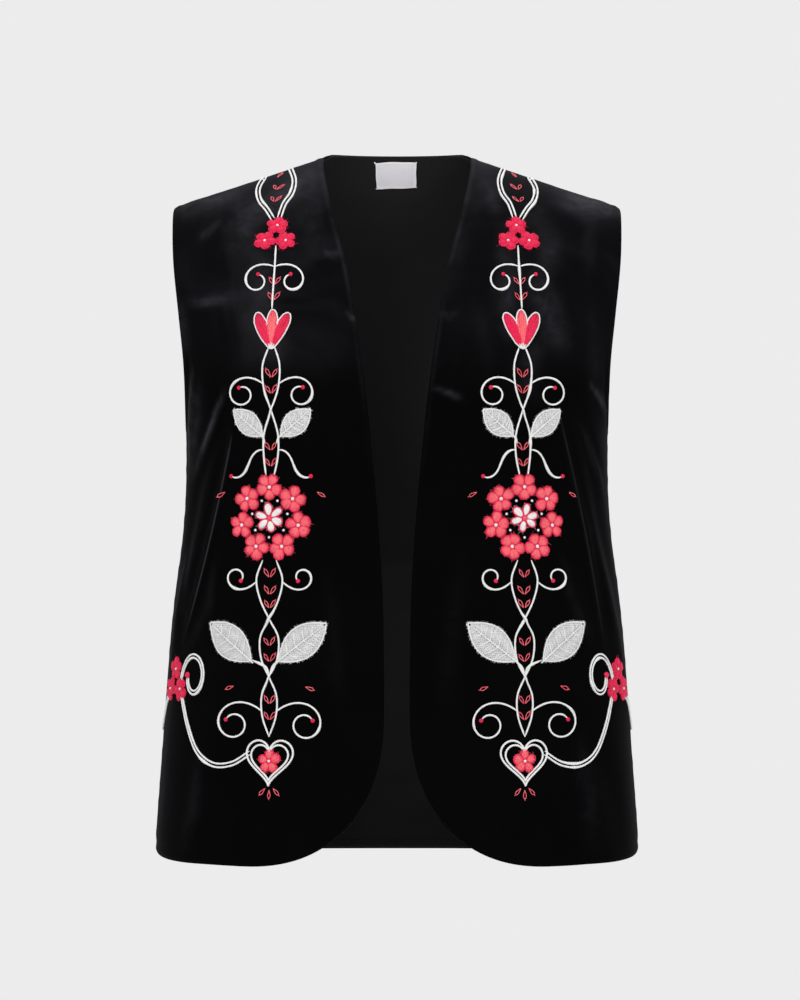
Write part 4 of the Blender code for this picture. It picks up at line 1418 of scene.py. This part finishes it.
# Scrolls in pairs, mirrored about their axis: the bend is in degrees for each metre, at the root and the tip
scrollColumns = ("x", "drop", "heading", "length", "bend", "axis")
scrolls = [dict(zip(scrollColumns, row)) for row in (
    (0.1078, 0.078, 160, 0.068, (1500, 9500), 0.108),
    (0.1038, 0.182, 140, 0.082, (1800, 8600), 0.1105),
    (0.1045, 0.24, 165, 0.042, (8500, -9500), 0.1107),
    (0.1003, 0.356, 225, 0.058, (-1500, -11000), 0.112),
    (0.106, 0.47, 140, 0.112, (1300, 7000), 0.112),
)]
shoulderPairs = [
    [(0.0958, -0.0142), (0.0915, -0.001), (0.0935, 0.011), (0.1000, 0.021), (0.1045, 0.034)],
    [(0.1182, -0.0062), (0.1238, 0.006), (0.1222, 0.017), (0.1155, 0.026), (0.1100, 0.035)],
]
swagPairs = [
    [(56, 0.506), (50, 0.516), (43, 0.517), (36, 0.505), (31, 0.486), (27, 0.466), (25, 0.454)],
]
metresPerDegree = 0.0035
# Double cords from the hip: one runs round the side in a wave and rolls up on the back, one rolls up in front
tailColumns = ("degrees", "drop", "heading", "length", "wave", "rollFrom", "roll")
tails = [dict(zip(tailColumns, row)) for row in (
    (16, 0.458, 180, 0.205, 46, 0.62, 470),
    (24, 0.446, 70, 0.112, 0, 0.01, -350),
)]
heart = {"x": 0.112, "drop": 0.515, "width": 0.044, "height": 0.040, "inner": 0.80, "blossomRadius": 0.0105}
# Coral chain-stitch loops: leaning pairs on the centre line, and single ones that point their own way, with
# their x and drop in millimetres. A coiled knot ends each tail.
daisies = {
    "length": 0.0078,
    "slim": 0.42,
    "thread": 0.00044,
    "jitter": 0.00008,
    "lean": 33,
    "pairs": [(109, 18.5), (107.8, 7), (108.4, 94), (109.2, 108), (110.5, 176), (110.5, 190), (110.8, 240),
              (111, 254), (112, 352), (112, 367), (112, 379), (112, 412), (112, 426), (112, 463), (112, 477)],
    "single": [(112, 538.5, 180), (108.5, 537, 222), (115.5, 537, 138), (107, -5, 0), (80, 448, 250),
               (144, 448, 110), (70, 277, 240), (152, 277, 120)],
    "coilSteps": 25,
    "coilTurn": 20,
    "coilSize": 2.0,
    "coilLift": (0.0010, 0.0022),
}


def wander(turn, length):  # how far over and up a line has come, for its direction at each step
    step = length / (len(turn) - 1)
    middle = (turn[1:] + turn[:-1]) / 2
    return [step * np.concatenate([[0.0], np.cumsum(way)]) for way in (np.cos(middle), np.sin(middle))]


def scrollLine(row, mirror):  # a line whose bend changes evenly, rolling up towards its tip
    share = shares(56)
    first, last = row["bend"]
    turn = np.radians(row["heading"] + row["length"] * (first * share + (last - first) * share**2 / 2))
    over, up = wander(turn, row["length"])
    x = row["x"] + over
    return np.stack([2 * row["axis"] - x if mirror else x, row["drop"] - up], -1)


def tailLine(row):
    share = shares(90)
    wave = unit(share / row["rollFrom"])
    rolled = unit((share - row["rollFrom"]) / (1 - row["rollFrom"]))
    turn = np.radians(row["heading"] + row["wave"] * np.sin(2 * math.pi * wave) + row["roll"] * rolled**1.45)
    over, up = wander(turn, row["length"])
    return np.stack([row["degrees"] + over / metresPerDegree, row["drop"] - up], -1)


def pairOf(line):  # two lines beside this one
    inDegrees = abs(line[0][0]) > 1.0
    scale = np.array([1 / metresPerDegree if inDegrees else 1.0, 1.0])
    run = np.gradient(line, axis=0) / scale
    out = np.stack([-run[:, 1], run[:, 0]], -1) / np.linalg.norm(run, axis=1, keepdims=True)
    offset = out * cords["pairSpacing"] / 2 * scale
    return line + offset, line - offset


def layCord(strands, places, facing, rng, over=()):
    run = np.concatenate([[0.0], np.cumsum(np.linalg.norm(np.diff(places, axis=0), axis=1))])
    middle, reach = rng.uniform(0.25, 0.75) * run[-1], rng.uniform(0.004, 0.008)
    swell = cords["swell"] * rng.uniform(0.2, 1.0) * bell(run - middle, reach)
    uneven = 0.05 * np.sin(run * 900 + rng.uniform(0.0, 6.0))
    uneven += 0.04 * np.sin(run * 2300 + rng.uniform(0.0, 6.0))
    slim = 1.0 - 0.5 * bell(np.minimum(run, run[-1] - run), cords["taper"])
    thickness = cords["thickness"] * (1.0 + swell + uneven) * slim
    lift = cords["thickness"] * (0.85 + 0.4 * swell)
    for drop in over:
        bridge = bell(-places[:, 2] - drop, cords["bridgeReach"])
        lift = lift + cords["bridgeLift"] * cords["thickness"] * bridge
    strands.add(places + facing * lift[:, None], thickness, rng.uniform(0.5, 1.0), facing)


def heartLine(share):
    t = np.linspace(0.0, 2 * math.pi, 64, endpoint=False)
    x = 16 * np.sin(t) ** 3
    y = 13 * np.cos(t) - 5 * np.cos(2 * t) - 2 * np.cos(3 * t) - np.cos(4 * t)
    return np.stack([x / 32 * heart["width"], (y + 2.5) / 29 * heart["height"]], -1) * share


def chainLoop(strands, patch, root, angle, rng):
    length, thread = daisies["length"] * rng.uniform(0.92, 1.08), daisies["thread"]
    turn = np.linspace(0.0, 2 * math.pi, 18, endpoint=False)
    flat = petalPoint(np.sin(turn), np.cos(turn), length, length * daisies["slim"])
    flat[:, 0] *= 0.30 + 0.70 * unit(flat[:, 1] / length * 1.6)
    flat += rng.normal(0.0, daisies["jitter"], flat.shape)
    patch.sew(strands, turned(flat, root, angle), thread * 1.1, thread, rng.uniform(0.4, 1.0), True)
    tie = np.array([[0.0, length * 0.90], [0.0, length * 1.00], [0.0, length * 1.16]])
    lift = np.array([0.2, 2.6, 0.2]) * thread
    patch.sew(strands, turned(tie, root, angle), lift, thread * 0.9, rng.uniform(0.4, 1.0))


def makeDaisies(ground, side, word):
    rng = np.random.default_rng(300 + side)
    loops, knots = Strands(), Strands()
    for x, drop in daisies["pairs"]:
        patch = Patch(ground, side, x / 1000, drop / 1000)
        for hand in (-1, 1):
            angle = math.radians(daisies["lean"] + rng.uniform(-4.0, 4.0)) * hand
            chainLoop(loops, patch, (0.0006 * hand, 0.0), angle, rng)
    for x, drop, heading in daisies["single"]:
        patch = Patch(ground, side, x / 1000, drop / 1000)
        chainLoop(loops, patch, (0.0, 0.0), math.radians(heading), rng)
    for row in scrolls:
        for mirror in (False, True):
            x, drop = scrollLine(row, mirror)[-1]
            frenchKnot(knots, Patch(ground, side, x, drop), (0.0, 0.0), 1.25, rng)
    for row in tails:
        places, facing = ground.around(side, tailLine(row)[-1:])
        turns = shares(daisies["coilSteps"])
        reach = stitch["knotRadius"] * daisies["coilSize"] * (1.0 - 0.85 * turns**2)
        over = np.cross(facing[0], (0.0, 0.0, 1.0))
        upward = np.cross(over, facing[0])
        turn, (low, rise) = daisies["coilTurn"] * turns[:, None], daisies["coilLift"]
        ring = np.cos(turn) * over + np.sin(turn) * upward
        coil = places + ring * reach[:, None] + facing * (low + rise * turns)[:, None]
        knots.add(coil, stitch["knotThread"] * 1.5, rng.uniform(0.4, 1.0), np.tile(facing, (len(turns), 1)))
    sewPiece("daisies_coral_" + word, loops, "cord", "coral", Sides=6, Plies=2.0, Step=0.0006)
    sewPiece("knots_crimson_" + word, knots, "thread", "crimson", Sides=6)


def makeCords(ground, side, word):
    rng = np.random.default_rng(200 + side)
    strands = Strands()
    lines = [(ground.under, smoothLine(np.array(path) / 1000, 14), np.array(over) / 1000)
             for path, over in stemPaths]
    lines += [(ground.under, scrollLine(row, mirror), ()) for row in scrolls for mirror in (False, True)]
    lines += [(ground.under, line, ()) for path in shoulderPairs for line in pairOf(smoothLine(path, 10))]
    rounded = [smoothLine(path, 10) for path in swagPairs] + [tailLine(row) for row in tails]
    lines += [(ground.around, line, ()) for path in rounded for line in pairOf(path)]
    for placed, line, over in lines:
        layCord(strands, *placed(side, line), rng, over)
    patch, thickness = Patch(ground, side, heart["x"], heart["drop"]), cords["thickness"]
    for share in (1.0, heart["inner"]):
        tone = rng.uniform(0.5, 1.0)
        patch.sew(strands, heartLine(share), thickness * 0.9, thickness * (0.90 + 0.2 * share), tone, True)
    sewPiece("cords_white_" + word, strands, "cord", "white", Sides=cords["sides"])
    coral, line, knots = Strands(), Strands(), Strands()
    blossom(coral, line, knots, patch, (0.0, 0.0018), heart["blossomRadius"], 0.0, rng)
    sewPiece("heart_blossom_" + word, coral, "thread", "coral")
    sewPiece("heart_blossom_outline_" + word, line, "cord", "crimson", **fineCord)
    sewPiece("heart_blossom_knot_" + word, knots, "thread", "white", Sides=6)


for side, word in sideWords.items():
    makeCords(ground, side, word)
    makeDaisies(ground, side, word)
print("cords ready:", triangleCount["all"], "triangles")


# The seams: a dark filling behind the joints of the cloth, at the sides and on the shoulders
seams = {
    "radius": 0.0010,
    "depth": 0.0016,
    "side": (0.2255, 0.5990),
    "shoulder": (0.0672, 0.1995),
}


def makeSeams(side, word):
    strands = Strands()
    drop = np.linspace(*seams["side"], 80)
    x = side * (widthAt(drop, drop + cut["sideHemRise"] + cut["cornerRise"]) - seams["depth"])
    facing = np.tile([float(side), 0.0, 0.0], (80, 1))
    strands.add(np.stack([x, x * 0, -drop], -1), seams["radius"], 0.5, facing)
    x = np.linspace(*seams["shoulder"], 40)
    drop = levelDrop(x, 0.0) + seams["depth"]
    facing = np.tile([0.0, 0.0, 1.0], (40, 1))
    strands.add(np.stack([side * x, x * 0, -drop], -1), seams["radius"], 0.5, facing)
    sewPiece("seams_" + word, strands, "thread", "velvet", Sides=8)


for side, word in sideWords.items():
    makeSeams(side, word)
print("seams ready")


# The blank label inside the neck, with its folded edges and the small stitches that hold its corners
def makeLabel():
    rng = np.random.default_rng(7)
    low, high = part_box("neck_label")
    inside = Ground(["lining"])
    x = np.linspace(low[0], high[0], label["columns"] + 1)
    drop = np.linspace(-high[2] + label["trim"], -low[2] - label["trim"], label["rows"] + 1)
    x, drop = np.meshgrid(x, drop)
    share = shares(label["columns"] + 1)[None, :]
    fall = shares(label["rows"] + 1)[:, None]
    weights = ((1 - share) * (1 - fall), share * (1 - fall), (1 - share) * fall, share * fall)
    x = x + sum(weight * skew[0] for weight, skew in zip(weights, label["skew"]))
    drop = drop + sum(weight * skew[1] for weight, skew in zip(weights, label["skew"]))
    x = x + label["ripple"] * np.sin(fall * 9.0 + share)
    crown = label["crown"] * (1 - fall) * np.sin(math.pi * share) ** 0.7
    drop = drop + label["ripple"] * np.sin(share * 11.0 + 0.6) - crown
    share, fall = share + 0 * x, fall + 0 * x
    places, facing = inside.under(1, np.stack([x.ravel(), drop.ravel()], -1))
    bulge = np.sin(math.pi * share) ** 0.7 * np.sin(math.pi * fall) ** 0.7
    lift = label["lift"] + label["bulge"] * bulge * (0.8 + 0.3 * np.sin(share * 9.0))
    grid = (places + facing * lift.reshape(-1, 1)).reshape(*x.shape, 3)
    away = np.minimum(np.minimum(x - x.min(), x.max() - x), np.minimum(drop - drop.min(), drop.max() - drop))
    edge = unit(1.6 - away / label["band"])
    grid = grid + facing.reshape(*x.shape, 3) * (label["foldLift"] * edge)[..., None]
    points, _, faces = dress("label_neck", "neck_label", "label", grid, label["thickness"], edge)
    surfaces["label"] = (points, faces)
    top = Ground(["label", "lining"])
    stitches = Strands()
    for (row, column), tip in zip(((0, 0), (0, -1), (-1, 0), (-1, -1)), label["tips"]):
        corner = np.array([x[row, column], drop[row, column]])
        inward = np.array([1.0 if column == 0 else -1.0, 1.0 if row == 0 else -1.0])
        for k in range(3):
            line = np.array([corner - inward * tip, corner + inward * 0.0002, corner + inward * 0.0010])
            shift = rng.normal(0.0, label["stitchJitter"], (1, 2))
            line += np.array([0.0003, -0.0003]) * (k - 1) * inward + shift
            lift = np.array([0.1, 0.5, 0.2]) * 0.001
            top.sew(stitches, line, lift, label["stitchThread"], rng.uniform(0.6, 1.0))
    sewPiece("label_stitches", stitches, "thread", "white", Sides=6)


makeLabel()
print("label ready")


# Small dark stitches along the lining's neck edge and hem
liningStitches = {
    "length": 0.0028,
    "spacing": 0.0054,
    "thread": 0.00024,
    "jitter": 0.00012,
    "rows": ((0.0040, 0.062), (0.5980, 0.170)),
}


def makeLiningStitches():
    rng = np.random.default_rng(12)
    inside = Ground(["lining"])
    strands = Strands()
    for level, reach in liningStitches["rows"]:
        for x in np.arange(-reach, reach, liningStitches["spacing"]):
            drop = levelDrop(x, level, cut["neckRise"])
            along = x + liningStitches["length"] * np.array([0.0, 0.25, 0.75, 1.0])
            line = np.stack([along, np.full(4, drop)], -1) + rng.normal(0.0, liningStitches["jitter"], (4, 2))
            lift = np.array([-0.3, 1.0, 1.0, -0.3]) * liningStitches["thread"]
            inside.sew(strands, line, lift, liningStitches["thread"], rng.uniform(0.3, 1.0))
    sewPiece("stitches_lining", strands, "thread", "lining")


makeLiningStitches()
print("stitches ready")
